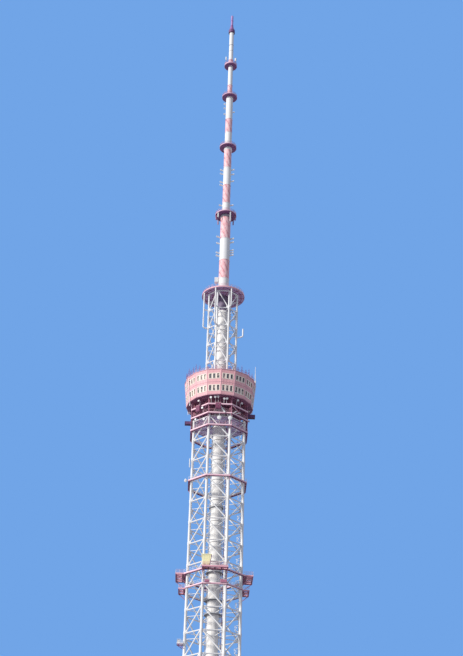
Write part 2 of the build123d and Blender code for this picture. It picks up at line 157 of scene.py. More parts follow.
def rangeOf(tree, place, value, ends=(0.0, 1.0), to=(0.0, 1.0)):
    node = addNode(tree, "MapRange", place, {"Value": value, "From Min": ends[0], "From Max": ends[1],
                                             "To Min": to[0], "To Max": to[1]})
    return node.outputs["Result"]


def noiseOf(tree, place, where, scale, detail, roughness=0.5, output="Fac"):
    node = addNode(tree, "TexNoise", place, {"Vector": where, "Scale": scale, "Detail": detail,
                                             "Roughness": roughness})
    return node.outputs[output]


def axesOf(tree, place, vector):
    return addNode(tree, "SeparateXYZ", place, {"Vector": vector}).outputs


def newGroup(name, inputs, outputs):
    group = bpy.data.node_groups.new(name, "ShaderNodeTree")
    for socketName, kind, value in inputs:
        socket = group.interface.new_socket(socketName, in_out="INPUT", socket_type="NodeSocket" + kind)
        if value is not None:
            socket.default_value = value
    for socketName, kind in outputs:
        group.interface.new_socket(socketName, in_out="OUTPUT", socket_type="NodeSocket" + kind)
    start, end = group.nodes.new("NodeGroupInput"), group.nodes.new("NodeGroupOutput")
    start.location, end.location = (-1400, 0), (900, 0)
    return group, start.outputs, end.inputs


weatheringAndShade = {
    "patchDetail": 5.0, "patchRoughness": 0.6, "patchEdge": (0.38, 0.68),
    "streakStretch": (1.0, 1.0, 0.07), "streakDetail": 3.0, "streakRoughness": 0.55,
    "streakEdge": (0.5, 0.78),
    "speckScale": 62.0, "speckDetail": 4.0, "speckRoughness": 0.7, "speckEdge": (0.66, 0.74),
    "shadeBelowEdge": (-0.75, -0.95),        # how far a face looks down before it takes the painted shade
    "shine": (0.42, 0.78), "grainScale": 210.0, "grainDetail": 3.0, "grainRelief": 0.3,
}


def makeWeatheringAndShade(s):
    # chalked paint with rain streaks and rust specks, and painted shade on faces that look down
    group, start, end = newGroup(
        "weatheredPaintAndShade",
        [("Coordinates", "Vector", None), ("Facing", "Vector", None),
         ("Paint", "Color", (1, 1, 1, 1)), ("Chalk", "Color", (1, 1, 1, 1)),
         ("Stain", "Color", (0.2, 0.15, 0.12, 1)), ("Underside", "Color", (0.2, 0.1, 0.1, 1)),
         ("Chalking", "Float", 0.4), ("Staining", "Float", 0.35),
         ("Patch Scale", "Float", 3.0), ("Streak Scale", "Float", 24.0)],
        [("Colour", "Color"), ("Roughness", "Float"), ("Height", "Float")])
    where = start["Coordinates"]
    patches = noiseOf(group, (-1100, 300), where, start["Patch Scale"], s["patchDetail"],
                      s["patchRoughness"])
    patchMask = rangeOf(group, (-900, 300), patches, s["patchEdge"])
    chalkAmount = calc(group, (-700, 300), "MULTIPLY", patchMask, start["Chalking"])
    chalked = blendOf(group, (-500, 300), chalkAmount, start["Paint"], start["Chalk"])

    stretch = addNode(group, "VectorMath", (-1100, 0), {0: where, 1: s["streakStretch"]},
                      operation="MULTIPLY")
    streaks = noiseOf(group, (-900, 0), stretch.outputs["Vector"], start["Streak Scale"],
                      s["streakDetail"], s["streakRoughness"])
    specks = noiseOf(group, (-900, -250), where, s["speckScale"], s["speckDetail"], s["speckRoughness"])
    marks = calc(group, (-500, -100), "MAXIMUM", rangeOf(group, (-700, 0), streaks, s["streakEdge"]),
                 rangeOf(group, (-700, -250), specks, s["speckEdge"]))
    stainAmount = calc(group, (-300, -100), "MULTIPLY", marks, start["Staining"])
    stained = blendOf(group, (-100, 200), stainAmount, chalked, start["Stain"])

    # painted shade: faces that look down take the underside colour
    below = rangeOf(group, (-300, -450), axesOf(group, (-500, -450), start["Facing"])["Z"], s["shadeBelowEdge"])
    coat = blendOf(group, (150, 100), below, stained, start["Underside"])
    rough = rangeOf(group, (-100, -250), patches, to=s["shine"])
    grain = noiseOf(group, (-900, -700), where, s["grainScale"], s["grainDetail"])
    relief = calc(group, (100, -500), "MULTIPLY_ADD", grain, s["grainRelief"], marks)
    for output, name in ((coat, "Colour"), (rough, "Roughness"), (relief, "Height")):
        group.links.new(output, end[name])
    return group


def makeSeams():
    # thin level rings at an even pitch up the height, as weld seams or plate edges
    group, start, end = newGroup(
        "levelSeams",
        [("Coordinates", "Vector", None), ("Pitch", "Float", 0.25), ("Offset", "Float", 0.0),
         ("Share", "Float", 0.06)],
        [("Mask", "Float")])
    height = axesOf(group, (-1100, 0), start["Coordinates"])["Z"]
    moved = calc(group, (-900, 0), "SUBTRACT", height, start["Offset"])
    steps = calc(group, (-700, 0), "DIVIDE", moved, start["Pitch"])
    part = calc(group, (-500, 0), "FRACT", steps)
    group.links.new(calc(group, (-300, 0), "LESS_THAN", part, start["Share"]), end["Mask"])
    return group


strokeShape = {
    "climb": 2.4,                       # rise of a stroke over its run across
    "waverScale": 9.0, "waverDetail": 2.0, "waver": 0.06,
    "breakScale": 6.0, "breakDetail": 1.0, "breakEdge": (0.42, 0.5),
}


def makeShadeStrokes(s):
    # short marks that climb round a mast: a dark stroke of painted shadow and a light one of painted
    # highlight beside it, broken by noise
    group, start, end = newGroup(
        "slantedShadeStrokes",
        [("Coordinates", "Vector", None), ("Pitch", "Float", 0.12), ("Share", "Float", 0.4)],
        [("Shadow", "Float"), ("Light", "Float")])
    where = start["Coordinates"]
    axes = axesOf(group, (-1100, 0), where)
    climb = calc(group, (-900, 0), "MULTIPLY_ADD", axes["X"], s["climb"], axes["Z"])
    waver = noiseOf(group, (-1100, -250), where, s["waverScale"], s["waverDetail"])
    moved = calc(group, (-700, 0), "MULTIPLY_ADD", waver, s["waver"], climb)
    part = calc(group, (-300, 0), "FRACT", calc(group, (-500, 0), "DIVIDE", moved, start["Pitch"]))
    breaks = noiseOf(group, (-700, -400), where, s["breakScale"], s["breakDetail"])
    kept = rangeOf(group, (200, -150), breaks, s["breakEdge"])
    half = calc(group, (50, 220), "MULTIPLY", start["Share"], 0.5)
    for name, low, y in (("Shadow", 0.0, 100), ("Light", 0.5, 300)):
        distance = calc(group, (50, y), "PINGPONG", calc(group, (-100, y), "SUBTRACT", part, low), 0.5)
        near = calc(group, (200, y), "LESS_THAN", distance, half)
        group.links.new(calc(group, (400, y), "MULTIPLY", near, kept), end[name])
    return group


weatheredPaintAndShade = makeWeatheringAndShade(weatheringAndShade)
levelSeams = makeSeams()
slantedShadeStrokes = makeShadeStrokes(strokeShape)


# materials
def startMaterial(name):
    material = bpy.data.materials.new(name)
    material.use_nodes = True
    tree = material.node_tree
    where = addNode(tree, "TexCoord", (-1200, 0)).outputs
    return material, tree, tree.nodes["Principled BSDF"], where


def addCoat(tree, place, where, s):
    # the weathered paint and its painted shade, with a finish's own colours and amounts
    inputs = {"Coordinates": where["Object"], "Facing": where["Normal"], "Chalking": s["chalking"],
              "Staining": s["staining"], "Patch Scale": s["patchScale"],
              "Streak Scale": s["streakScale"]}
    for key in ("Paint", "Chalk", "Stain", "Underside"):
        inputs[key] = rgba(s[key.lower()])
    return addNode(tree, "Group", place, inputs, node_tree=weatheredPaintAndShade).outputs


def paintMaterial(name, s):
    # s has the coat's colours and amounts, and seams, strokes of painted shadow and highlight or an upper
    # colour where a finish has them
    material, tree, shader, where = startMaterial(name)
    coat = addCoat(tree, (-500, 0), where, s)
    colour = coat["Colour"]
    if "seams" in s:            # seam pitch, offset, share of the pitch, darkness
        pitch, offset, share, dark = s["seams"]
        seams = addNode(tree, "Group", (-900, -500), {"Pitch": pitch, "Offset": offset, "Share": share,
                                                      "Coordinates": where["Object"]},
                        node_tree=levelSeams).outputs
        depth = calc(tree, (-650, -500), "MULTIPLY", seams["Mask"], dark)
        colour = blendOf(tree, (-200, 100), depth, colour, rgba(s["stain"]))
    if "strokes" in s:          # slanting strokes of painted shadow and highlight: pitch up the height, share of the pitch, amount
        pitch, share, amount = s["strokes"]
        strokes = addNode(tree, "Group", (-900, -800), {"Pitch": pitch, "Share": share,
                                                        "Coordinates": where["Object"]},
                          node_tree=slantedShadeStrokes).outputs
        for mask, shade in (("Shadow", s["stain"]), ("Light", s["chalk"])):
            weight = calc(tree, (-650, -800), "MULTIPLY", strokes[mask], amount)
            colour = blendOf(tree, (-200, 250), weight, colour, rgba(shade))
    if "upper" in s:            # another colour above a height; on the pipe and the gallery legs it holds painted shade
        height, upperPaint = s["upper"]
        level = axesOf(tree, (-900, 300), where["Object"])["Z"]
        above = calc(tree, (-650, 300), "GREATER_THAN", level, height)
        other = addCoat(tree, (-500, 500), where, {**s, **upperPaint})
        colour = blendOf(tree, (0, 300), above, colour, other["Colour"])
    bump = addNode(tree, "Bump", (-200, -300), {"Strength": s["relief"], "Distance": s["reliefDepth"],
                                                "Height": coat["Height"]})
    feed(tree, shader, {"Specular IOR Level": s["specular"], "Roughness": coat["Roughness"],
                        "Base Color": colour, "Normal": bump.outputs["Normal"]})
    return material


usualCoat = {"patchScale": 3.0, "streakScale": 24.0, "specular": 0.35, "relief": 0.25,
             "reliefDepth": 0.004}
# each finish's underside colour is painted shade, taken on faces that look down
whiteSettings = {
    **usualCoat, "paint": (0.80, 0.80, 0.80), "chalk": (0.74, 0.75, 0.77),
    "stain": (0.45, 0.40, 0.38), "underside": (0.74, 0.75, 0.80), "chalking": 0.4, "staining": 0.14,
}
redSettings = {
    **usualCoat, "paint": (0.78, 0.42, 0.48), "chalk": (0.86, 0.58, 0.65),
    "stain": (0.34, 0.13, 0.17), "underside": (0.150, 0.060, 0.095), "chalking": 0.6, "staining": 0.2,
}
maroonSettings = {
    **usualCoat, "paint": (0.42, 0.15, 0.24), "chalk": (0.52, 0.24, 0.34),
    "stain": (0.13, 0.05, 0.09), "underside": (0.21, 0.085, 0.155), "chalking": 0.5, "staining": 0.25,
}
# darker colours above a height: the trunk's legs in the gallery, dark red paint with painted shade of the
# drum; the mast's cap; the pipe under the disc, painted shadow of the disc
galleryShadedRed = {"paint": (0.25, 0.07, 0.11), "chalk": (0.38, 0.17, 0.22), "stain": (0.10, 0.03, 0.05),
                "underside": (0.07, 0.02, 0.04)}
capSteel = {"paint": (0.17, 0.07, 0.17), "chalk": (0.23, 0.11, 0.23), "stain": (0.07, 0.03, 0.07),
            "underside": (0.06, 0.025, 0.06)}
shadedPipe = {"paint": (0.17, 0.13, 0.20), "chalk": (0.23, 0.19, 0.27), "stain": (0.08, 0.06, 0.10),
              "underside": (0.1, 0.08, 0.12)}

whitePaint = paintMaterial("whitePaint", whiteSettings)
trunkPaint = paintMaterial("trunkPaint", {
    **whiteSettings, "seams": (0.75, 0.0, 0.012, 0.5), "upper": (18.86, galleryShadedRed)})
redPaint = paintMaterial("fadedRedPaint", redSettings)
drumPaint = paintMaterial("drumPanelPaint", {
    **redSettings, "paint": (0.80, 0.43, 0.45), "chalk": (0.87, 0.54, 0.56), "patchScale": 1.6,
    "streakScale": 9.0})
# the mast's red carries slanting strokes of painted shadow and highlight
mastRedPaint = paintMaterial("mastRedPaint", {
    **redSettings, "paint": (0.82, 0.42, 0.44), "chalk": (0.90, 0.66, 0.68),
    "stain": (0.48, 0.20, 0.24), "patchScale": 7.0, "chalking": 0.8, "strokes": (0.40, 0.20, 0.75)})
mastWhitePaint = paintMaterial("mastWhitePaint", {**whiteSettings, "seams": (0.17, 0.02, 0.06, 0.12)})
discPaint = paintMaterial("discPaint", {**redSettings, "underside": (0.40, 0.27, 0.46)})
ringPaint = paintMaterial("mastRingPaint", {
    **redSettings, "paint": (0.62, 0.34, 0.46), "chalk": (0.76, 0.54, 0.64),
    "underside": (0.20, 0.08, 0.20), "upper": (37.0, capSteel)})
deckPaint = paintMaterial("deckPaint", {
    **redSettings, "paint": (0.84, 0.54, 0.62), "chalk": (0.90, 0.68, 0.75),
    "underside": (0.11, 0.045, 0.12)})
tipPaint = paintMaterial("tipPaint", {
    **redSettings, "paint": (0.36, 0.22, 0.50), "chalk": (0.46, 0.34, 0.60),
    "stain": (0.15, 0.08, 0.20)})
violetPaint = paintMaterial("violetPaint", {
    **redSettings, "paint": (0.30, 0.12, 0.30), "chalk": (0.40, 0.20, 0.38),
    "stain": (0.10, 0.04, 0.10), "underside": (0.10, 0.035, 0.10)})
maroonPaint = paintMaterial("maroonPaint", maroonSettings)
floorPaint = paintMaterial("galleryFloorPaint", {
    **redSettings, "paint": (0.46, 0.34, 0.42), "chalk": (0.56, 0.44, 0.52),
    "underside": (0.44, 0.37, 0.58)})
cabinetPaint = paintMaterial("cabinetPaint", {
    **maroonSettings, "paint": (0.21, 0.055, 0.11), "chalk": (0.28, 0.10, 0.17)})
duskPaint = paintMaterial("duskVioletPaint", {
    **maroonSettings, "paint": (0.15, 0.065, 0.17), "chalk": (0.22, 0.11, 0.24),
    "stain": (0.06, 0.03, 0.07), "underside": (0.06, 0.025, 0.07)})
pipePaint = paintMaterial("pipePaint", {
    **whiteSettings, "paint": (0.81, 0.79, 0.76), "chalk": (0.72, 0.72, 0.72),
    "stain": (0.36, 0.33, 0.32), "staining": 0.35, "streakScale": 14.0,
    "seams": (0.25, 0.0, 0.02, 0.35), "upper": (23.47, shadedPipe)})
greySteel = paintMaterial("greySteel", {
    **whiteSettings, "paint": (0.36, 0.37, 0.40), "chalk": (0.48, 0.49, 0.51),
    "underside": (0.16, 0.165, 0.19)})
creamPaint = paintMaterial("creamPaint", {
    **whiteSettings, "paint": (0.98, 0.94, 0.55), "chalk": (0.98, 0.94, 0.66),
    "stain": (0.75, 0.62, 0.32), "underside": (0.50, 0.36, 0.26)})
framePaint = paintMaterial("windowFramePaint", {
    **whiteSettings, "paint": (0.90, 0.80, 0.70), "chalk": (0.86, 0.76, 0.66)})
cabinPane = paintMaterial("cabinPane", {
    **whiteSettings, "paint": (0.96, 0.91, 0.52), "chalk": (0.97, 0.92, 0.62),
    "stain": (0.60, 0.50, 0.26), "underside": (0.4, 0.3, 0.2), "specular": 0.8})

glass = {
    "specular": 0.7, "ior": 1.5,
    "paneScale": 7.0, "dark": (0.035, 0.040, 0.042), "pale": (0.19, 0.18, 0.17),    # each pane's own shade
    "sunReflection": (0.62, 0.54, 0.44),
    "across": (-1.0, -0.35), "open": (0.2, 0.78),       # more panes take a painted reflection of the sun on the sunny side
    "dustScale": 30.0, "dustDetail": 4.0, "dust": (0.06, 0.3),
}


def glassMaterial(name, s):
    material, tree, shader, where = startMaterial(name)
    panes = addNode(tree, "TexVoronoi", (-1000, 100), {"Vector": where["Object"], "Scale": s["paneScale"]})
    chance = addNode(tree, "SeparateColor", (-850, 100), {0: panes.outputs["Color"]}).outputs
    shades = blendOf(tree, (-650, 100), chance[0], rgba(s["dark"]), rgba(s["pale"]))
    # panes on the side toward the key light more often take the pale colour, a painted reflection of the sun
    across = axesOf(tree, (-1000, -120), where["Object"])["X"]
    openShare = rangeOf(tree, (-850, -120), across, s["across"], s["open"])
    takesReflection = calc(tree, (-650, -80), "GREATER_THAN", chance[1], openShare)
    reflectedPanes = blendOf(tree, (-400, 100), takesReflection, shades, rgba(s["sunReflection"]))
    dust = noiseOf(tree, (-800, -300), where["Object"], s["dustScale"], s["dustDetail"])
    feed(tree, shader, {"Specular IOR Level": s["specular"], "IOR": s["ior"], "Base Color": reflectedPanes,
                        "Roughness": rangeOf(tree, (-600, -300), dust, to=s["dust"])})
    return material


concrete = {
    "cloudScale": 2.4, "cloudDetail": 8.0, "cloudRoughness": 0.62,
    "dark": (0.30, 0.29, 0.27), "pale": (0.53, 0.52, 0.49),
    "sandScale": 140.0, "sandDetail": 3.0, "sandShare": 0.18, "sandRelief": 0.25,
    "poreScale": 46.0, "poreEdge": (0.0, 0.12), "relief": 0.5, "reliefDepth": 0.004, "shine": (0.75, 0.95),
}


def concreteMaterial(name, s):
    material, tree, shader, where = startMaterial(name)
    cloud = noiseOf(tree, (-1000, 150), where["Object"], s["cloudScale"], s["cloudDetail"],
                    s["cloudRoughness"])
    sand = addNode(tree, "TexNoise", (-1000, -100), {"Vector": where["Object"], "Scale": s["sandScale"],
                                                     "Detail": s["sandDetail"]}).outputs
    pores = addNode(tree, "TexVoronoi", (-1000, -350), {"Vector": where["Object"], "Scale": s["poreScale"]})
    clouded = blendOf(tree, (-700, 150), cloud, rgba(s["dark"]), rgba(s["pale"]))
    speckled = blendOf(tree, (-450, 150), s["sandShare"], clouded, sand["Color"], "OVERLAY")
    holes = rangeOf(tree, (-750, -350), pores.outputs["Distance"], s["poreEdge"])
    level = calc(tree, (-500, -250), "MULTIPLY_ADD", sand["Fac"], s["sandRelief"], holes)
    bump = addNode(tree, "Bump", (-250, -250), {"Strength": s["relief"], "Distance": s["reliefDepth"],
                                                "Height": level})
    feed(tree, shader, {"Base Color": speckled, "Normal": bump.outputs["Normal"],
                        "Roughness": rangeOf(tree, (-450, -50), cloud, to=s["shine"])})
    return material


windowGlass = glassMaterial("darkWindowGlass", glass)
castConcrete = concreteMaterial("castConcrete", concrete)

nodeFinishes = {
    castConcrete: ["leg_plinths", "pipe_plinth"],
    pipePaint: ["central_pipe"],
    deckPaint: ["ring_decks", "gallery_decks"],
    redPaint: ["upper_balconies", "lower_balconies", "drum_roof"],
    ringPaint: ["mast_platforms"],
    discPaint: ["top_disc"],
    drumPaint: ["drum_walls"],
    maroonPaint: ["drum_floor", "drum_middle_floor"],
    windowGlass: ["drum_glass"],
    greySteel: ["pipe_decks"],
    whitePaint: ["side_platform", "junction_ring"],
    tipPaint: ["tip_rod"],
    mastWhitePaint: ["mast_white_sections"],
    mastRedPaint: ["mast_red_sections"],
    violetPaint: ["mast_cone"],
}
for finish, names in nodeFinishes.items():
    for nodeName in names:
        for materialSlot in nodes[nodeName].material_slots:
            materialSlot.material = finish
print("materials are made")


# making helpers
def selectOnly(objects):
    if bpy.context.object and bpy.context.object.mode != "OBJECT":
        bpy.ops.object.mode_set(mode="OBJECT")
    bpy.ops.object.select_all(action="DESELECT")
    for thing in objects:
        thing.select_set(True)
    bpy.context.view_layer.objects.active = objects[0]


def joinParts(parts):
    selectOnly(parts)
    if len(parts) > 1:
        bpy.ops.object.join()
    bpy.ops.object.transform_apply(location=True, rotation=True, scale=True)
    return bpy.context.object


smoothAngle = 35        # sharper edges than this stay sharp


def finishPiece(parts, name, stands=()):
    # joins the parts, puts their place in the mesh, and hands the piece to the frame
    piece = joinParts(parts)
    piece.name = piece.data.name = name
    bpy.ops.object.shade_smooth_by_angle(angle=radians(smoothAngle))
    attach(piece, "root")
    if stands:
        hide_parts(*stands)
    return piece


def up(height):
    return Vector((0, 0, height))


def aroundAxis(radius, turn, z):
    # point at a turn in degrees from the front, to the right
    return Vector((radius * sin(radians(turn)), -radius * cos(radians(turn)), z))


def turnBy(degrees):
    return Matrix.Rotation(radians(degrees), 4, "Z")


def copyOf(thing, matrix=None):
    twin = thing.copy()
    twin.data = thing.data.copy()
    scene.collection.objects.link(twin)
    if matrix is not None:
        twin.matrix_world = matrix @ thing.matrix_world
    return twin


def ringOf(thing, count, first=0.0):
    # copies at even turns round the tower's axis, in place of the thing
    made = [copyOf(thing, turnBy(first + 360 * i / count)) for i in range(count)]
    bpy.data.objects.remove(thing)
    return made


def turnAlong(start, end, profile, sides, material):
    # a turned bar: a ring drawn out through (share of the length, radius) stations, ends closed
    start, end = Vector(start), Vector(end)
    run = end - start
    bpy.ops.object.select_all(action="DESELECT")
    bpy.ops.mesh.primitive_circle_add(vertices=sides, radius=profile[0][1], fill_type="NGON")
    bar = bpy.context.object
    bpy.ops.object.mode_set(mode="EDIT")
    bpy.ops.mesh.select_all(action="SELECT")
    for (share, radius), (nextShare, nextRadius) in zip(profile, profile[1:]):
        rise = (nextShare - share) * run.length
        bpy.ops.mesh.extrude_region_move(TRANSFORM_OT_translate={"value": (0, 0, rise)})
        if nextRadius != radius:
            grow = nextRadius / radius
            bpy.ops.transform.resize(value=(grow, grow, 1), center_override=(0, 0, nextShare * run.length))
    bpy.ops.object.mode_set(mode="OBJECT")
    bar.matrix_world = Matrix.Translation(start) @ run.to_track_quat("Z", "Y").to_matrix().to_4x4()
    bar.data.materials.append(material)
    return bar


def plainBar(start, end, radius, sides, material):
    return turnAlong(start, end, [(0, radius), (1, radius)], sides, material)


weldCollar = {"grow": 1.35, "reach": 0.05, "width": 0.02}


def collaredBar(start, end, radius, sides, material, reach=weldCollar["reach"]):
    # a tube with a short welded collar near each end
    length = (Vector(end) - Vector(start)).length
    a, b = reach / length, (reach + weldCollar["width"]) / length
    big = radius * weldCollar["grow"]
    profile = [(0, radius), (a, radius), (a, big), (b, big), (b, radius),
               (1 - b, radius), (1 - b, big), (1 - a, big), (1 - a, radius), (1, radius)]
    return turnAlong(start, end, profile, sides, material)


def torusAt(z, radius, thick, steps, material, squash=1.0):
    bpy.ops.object.select_all(action="DESELECT")
    bpy.ops.mesh.primitive_torus_add(major_radius=radius, minor_radius=thick, major_segments=steps,
                                     minor_segments=6, location=(0, 0, z))
    ring = bpy.context.object
    ring.scale.z = squash
    ring.data.materials.append(material)
    return ring


def bevelledBox(corner, opposite, material, bevel=0.004):
    # a box between two opposite corners, given in any order
    low, high = (Vector(ends) for ends in zip(*map(sorted, zip(corner, opposite))))
    size = high - low
    bpy.ops.object.select_all(action="DESELECT")
    bpy.ops.mesh.primitive_cube_add(size=1, location=(low + high) / 2)
    block = bpy.context.object
    block.scale = size
    bpy.ops.object.transform_apply(location=True, rotation=False, scale=True)
    bpy.ops.object.mode_set(mode="EDIT")
    bpy.ops.mesh.select_all(action="SELECT")
    bpy.ops.mesh.bevel(offset=min(bevel, min(size) * 0.3), segments=1, affect="EDGES")
    bpy.ops.object.mode_set(mode="OBJECT")
    block.data.materials.append(material)
    return block


def stackUp(thing, count, step):
    # copies above one another with an array that is applied
    joinParts([thing])
    array = thing.modifiers.new("stack", "ARRAY")
    array.count = count
    array.use_relative_offset = False
    array.use_constant_offset = True
    array.constant_offset_displace = (0, 0, step)
    bpy.ops.object.modifier_apply(modifier=array.name)
    return thing


def turnedPart(made, turn):
    # parts made for the side that faces +X, turned round the axis as one
    part = joinParts(made)
    part.matrix_world = turnBy(turn)
    return part


# trunk: round tubes in place of the square bars; four of its eight flats face the four sides
corners = 8
cornerStep = 360 / corners
cornerTurn = cornerStep / 2                   # from a flat side to a corner
halfSide = radians(cornerTurn)

lattice = {
    "collarGrow": 1.16, "collar": 0.045, "collarEdge": 0.012, "clearance": 0.0003,
    "plateWidth": 0.07, "plateHeight": 0.11, "plateThick": 0.008, "plateLift": 0.035, "plateLap": 0.004,
    "plateBevel": 0.002, "pipeRadius": 0.2, "hoopRadius": 0.216, "hoopLift": 0.012, "hoopSteps": 40,
    "hoops": ((0.0, 1.5, whitePaint), (0.17, 0.6, greySteel)),      # lift, squash, finish
}
trunk = {
    **lattice, "radius": 0.9568, "legRadius": 0.0435, "foot": 8.25, "bay": 0.75, "bays": 14,
    "head": 19.461, "braceRadius": 0.022, "legSides": 20, "braceSides": 10, "spokeRadius": 0.013,
    "spokeLevels": 14,
}
upper = {
    **lattice, "radius": 0.567, "legRadius": 0.034, "foot": 20.422, "bay": 0.738, "bays": 5,
    "head": 24.12, "braceRadius": 0.019, "legSides": 16, "braceSides": 8, "spokeRadius": 0.012,
    "spokeLevels": 4,
}


def makeLegs(s, name, node, material):
    # a leg with a collar at each end of a bay, stacked up and set on the eight corners
    foot = aroundAxis(s["radius"], -cornerTurn, s["foot"])
    wide = s["legRadius"] * s["collarGrow"]
    collar, edge = s["collar"] / s["bay"], s["collarEdge"] / s["bay"]
    profile = [(0, wide), (collar, wide), (collar + edge, s["legRadius"]),
               (1 - collar - edge, s["legRadius"]), (1 - collar, wide), (1, wide)]
    leg = turnAlong(foot, foot + up(s["bay"]), profile, s["legSides"], material)
    parts = [stackUp(leg, s["bays"], s["bay"])]
    last = foot + up(s["bay"] * s["bays"])
    if s["head"] - last.z > 0.01:
        parts.append(plainBar(last, (foot.x, foot.y, s["head"]), s["legRadius"], s["legSides"], material))
    return finishPiece(ringOf(joinParts(parts), corners), name, stands=[node])


def makeSide(s, lean, material):
    # one flat side towards the viewer: a level bar and a slanting bar in each bay, with their plates
    apothem = s["radius"] * cos(halfSide)
    half = s["radius"] * sin(halfSide) - s["legRadius"] - s["clearance"]
    low, top, last = s["foot"], s["foot"] + s["bay"], s["foot"] + s["bays"] * s["bay"]
    lift = s["braceRadius"] * s["bay"] / (2 * half)
    bar = (s["braceRadius"], s["braceSides"], material)
    parts = [collaredBar((-half, -apothem, top), (half, -apothem, top), *bar),
             collaredBar((-lean * half, -apothem, low + lift), (lean * half, -apothem, top - lift), *bar)]
    thick, high = s["plateThick"] / 2, s["plateHeight"] / 2
    for side, z in ((-lean, low + s["plateLift"]), (lean, top - s["plateLift"])):
        edge = side * (half + s["plateLap"])
        parts.append(bevelledBox((edge, -apothem - thick, z - high),
                                 (edge - side * s["plateWidth"], -apothem + thick, z + high),
                                 material, s["plateBevel"]))
    side = stackUp(joinParts(parts), s["bays"], s["bay"])
    if s["head"] - last > 0.2:          # the cut bay under the drum
        reach = weldCollar["reach"] * (s["head"] - last) / s["bay"]
        side = joinParts([side, collaredBar((-lean * half, -apothem, last + lift),
                                            (lean * half, -apothem, s["head"] - 0.01), *bar, reach)])
    return side


def makeSides(s, material):
    masters = [makeSide(s, lean, material) for lean in (-1, 1)]
    twins = [copyOf(masters[i % 2], turnBy(cornerStep * i)) for i in range(corners)]
    for master in masters:
        bpy.data.objects.remove(master)
    return twins


def makeSpokes(s, name, node):
    # rods from the pipe to the corners at each walkway ring, and two hoops round the pipe
    parts = []
    for i in range(s["spokeLevels"]):
        z = s["foot"] + s["bay"] * (i + 1) + s["hoopLift"]
        rod = plainBar(aroundAxis(s["pipeRadius"] + 0.01, 90 + cornerTurn, z),
                       aroundAxis(s["radius"] - s["legRadius"], 90 + cornerTurn, z),
                       s["spokeRadius"], 6, whitePaint)
        parts += ringOf(rod, corners)
        for lift, squash, finish in s["hoops"]:
            parts.append(torusAt(z + lift, (s["pipeRadius"] + s["hoopRadius"]) / 2 + 0.002,
                                 (s["hoopRadius"] - s["pipeRadius"]) / 2, s["hoopSteps"], finish, squash))
    return finishPiece(parts, name, stands=[node])


makeLegs(trunk, "trunkLegTubes", "trunk_legs", trunkPaint)
sideNames = ["front", "front_right", "right", "back_right", "back", "back_left", "left", "front_left"]
for twin, sideName in zip(makeSides(trunk, trunkPaint), sideNames):
    finishPiece([twin], "trunkSideTubes_" + sideName, stands=["trunk_lattice_" + sideName])
makeSpokes(trunk, "trunkSpokeRods", "trunk_spokes")
print("lower trunk tubes are made")

makeLegs(upper, "upperLegTubes", "upper_trunk_legs", whitePaint)
finishPiece(makeSides(upper, whitePaint), "upperLatticeTubes",
            stands=["upper_trunk_lattice"])
makeSpokes(upper, "upperSpokeRods", "upper_trunk_spokes")
print("upper trunk tubes are made")

# raking legs
raking = {
    "footRadius": 4.5, "depthFoot": 0.7, "depthHead": 0.3, "panels": 12, "foot": 0.06, "head": 8.15,
    "chordRadius": 0.0435, "braceRadius": 0.022, "chordSides": 16, "braceSides": 8,
    "chordEnd": 0.02, "collarHalf": 0.03, "collarGrow": 1.14,
}


def makeRakingLeg(s):
    # the leg to the right: four chords, and in each panel its rungs and slants on all four faces
    run = s["footRadius"] - trunk["radius"] * cos(halfSide)
    half = trunk["radius"] * sin(halfSide)
    parts = []

    def chordPoint(inner, share, y):
        depth = s["depthFoot"] + (s["depthHead"] - s["depthFoot"]) * share
        z = s["foot"] + (s["head"] - s["foot"]) * share
        return Vector((s["footRadius"] - run * share - inner * depth, y, z))

    def chord(start, end, grow=1.0):
        parts.append(plainBar(start, end, s["chordRadius"] * grow, s["chordSides"], whitePaint))

    def brace(start, end):
        parts.append(plainBar(start, end, s["braceRadius"], s["braceSides"], whitePaint))

    for inner in (0, 1):
        for y in (-half, half):
            bottom, top = chordPoint(inner, 0, y), chordPoint(inner, 1, y)
            rise = (top - bottom).normalized() * s["chordEnd"]
            chord(bottom + rise, top - rise)
    for i in range(s["panels"]):
        low, high = i / s["panels"], (i + 1) / s["panels"]
        lastPanel = i == s["panels"] - 1
        for y in (-half, half):
            brace(chordPoint(0, low, y), chordPoint(1, high, y))
            if not lastPanel:
                brace(chordPoint(1, high, y), chordPoint(0, high, y))
                collar = chordPoint(0, high, y)
                rise = (chordPoint(0, 1, y) - chordPoint(0, 0, y)).normalized() * s["collarHalf"]
                chord(collar - rise, collar + rise, s["collarGrow"])
        swing = half if i % 2 else -half
        for inner in (0, 1):
            brace(chordPoint(inner, low, swing), chordPoint(inner, high, -swing))
            if not lastPanel:
                brace(chordPoint(inner, high, -half), chordPoint(inner, high, half))
    return joinParts(parts)


rakingMaster = makeRakingLeg(raking)
for sideName, turn in (("right", 0), ("back", 90), ("left", 180), ("front", 270)):
    finishPiece([copyOf(rakingMaster, turnBy(turn))], "rakingLegTubes_" + sideName,
                stands=["raking_leg_" + sideName])
bpy.data.objects.remove(rakingMaster)
print("raking legs are made")

# stretched rods for rails, joists, frames and small aerials
rodMaster = joinParts([plainBar((0, 0, 0), (0, 0, 1), 1.0, 6, whitePaint)])


def rodBetween(start, end, radius, material):
    start, end = Vector(start), Vector(end)
    run = end - start
    twin = copyOf(rodMaster)
    twin.matrix_world = (Matrix.Translation(start) @ run.to_track_quat("Z", "Y").to_matrix().to_4x4()
                         @ Matrix.Diagonal((radius, radius, run.length, 1)))
    twin.data.materials[0] = material
    return twin


def rodAt(turn, start, end, radius, material):
    # a rod between two (distance from the axis, height) points at a turn
    return rodBetween(aroundAxis(start[0], turn, start[1]), aroundAxis(end[0], turn, end[1]), radius,
                      material)


def bentRod(turn, path, radius, material):
    return [rodAt(turn, a, b, radius, material) for a, b in zip(path, path[1:])]


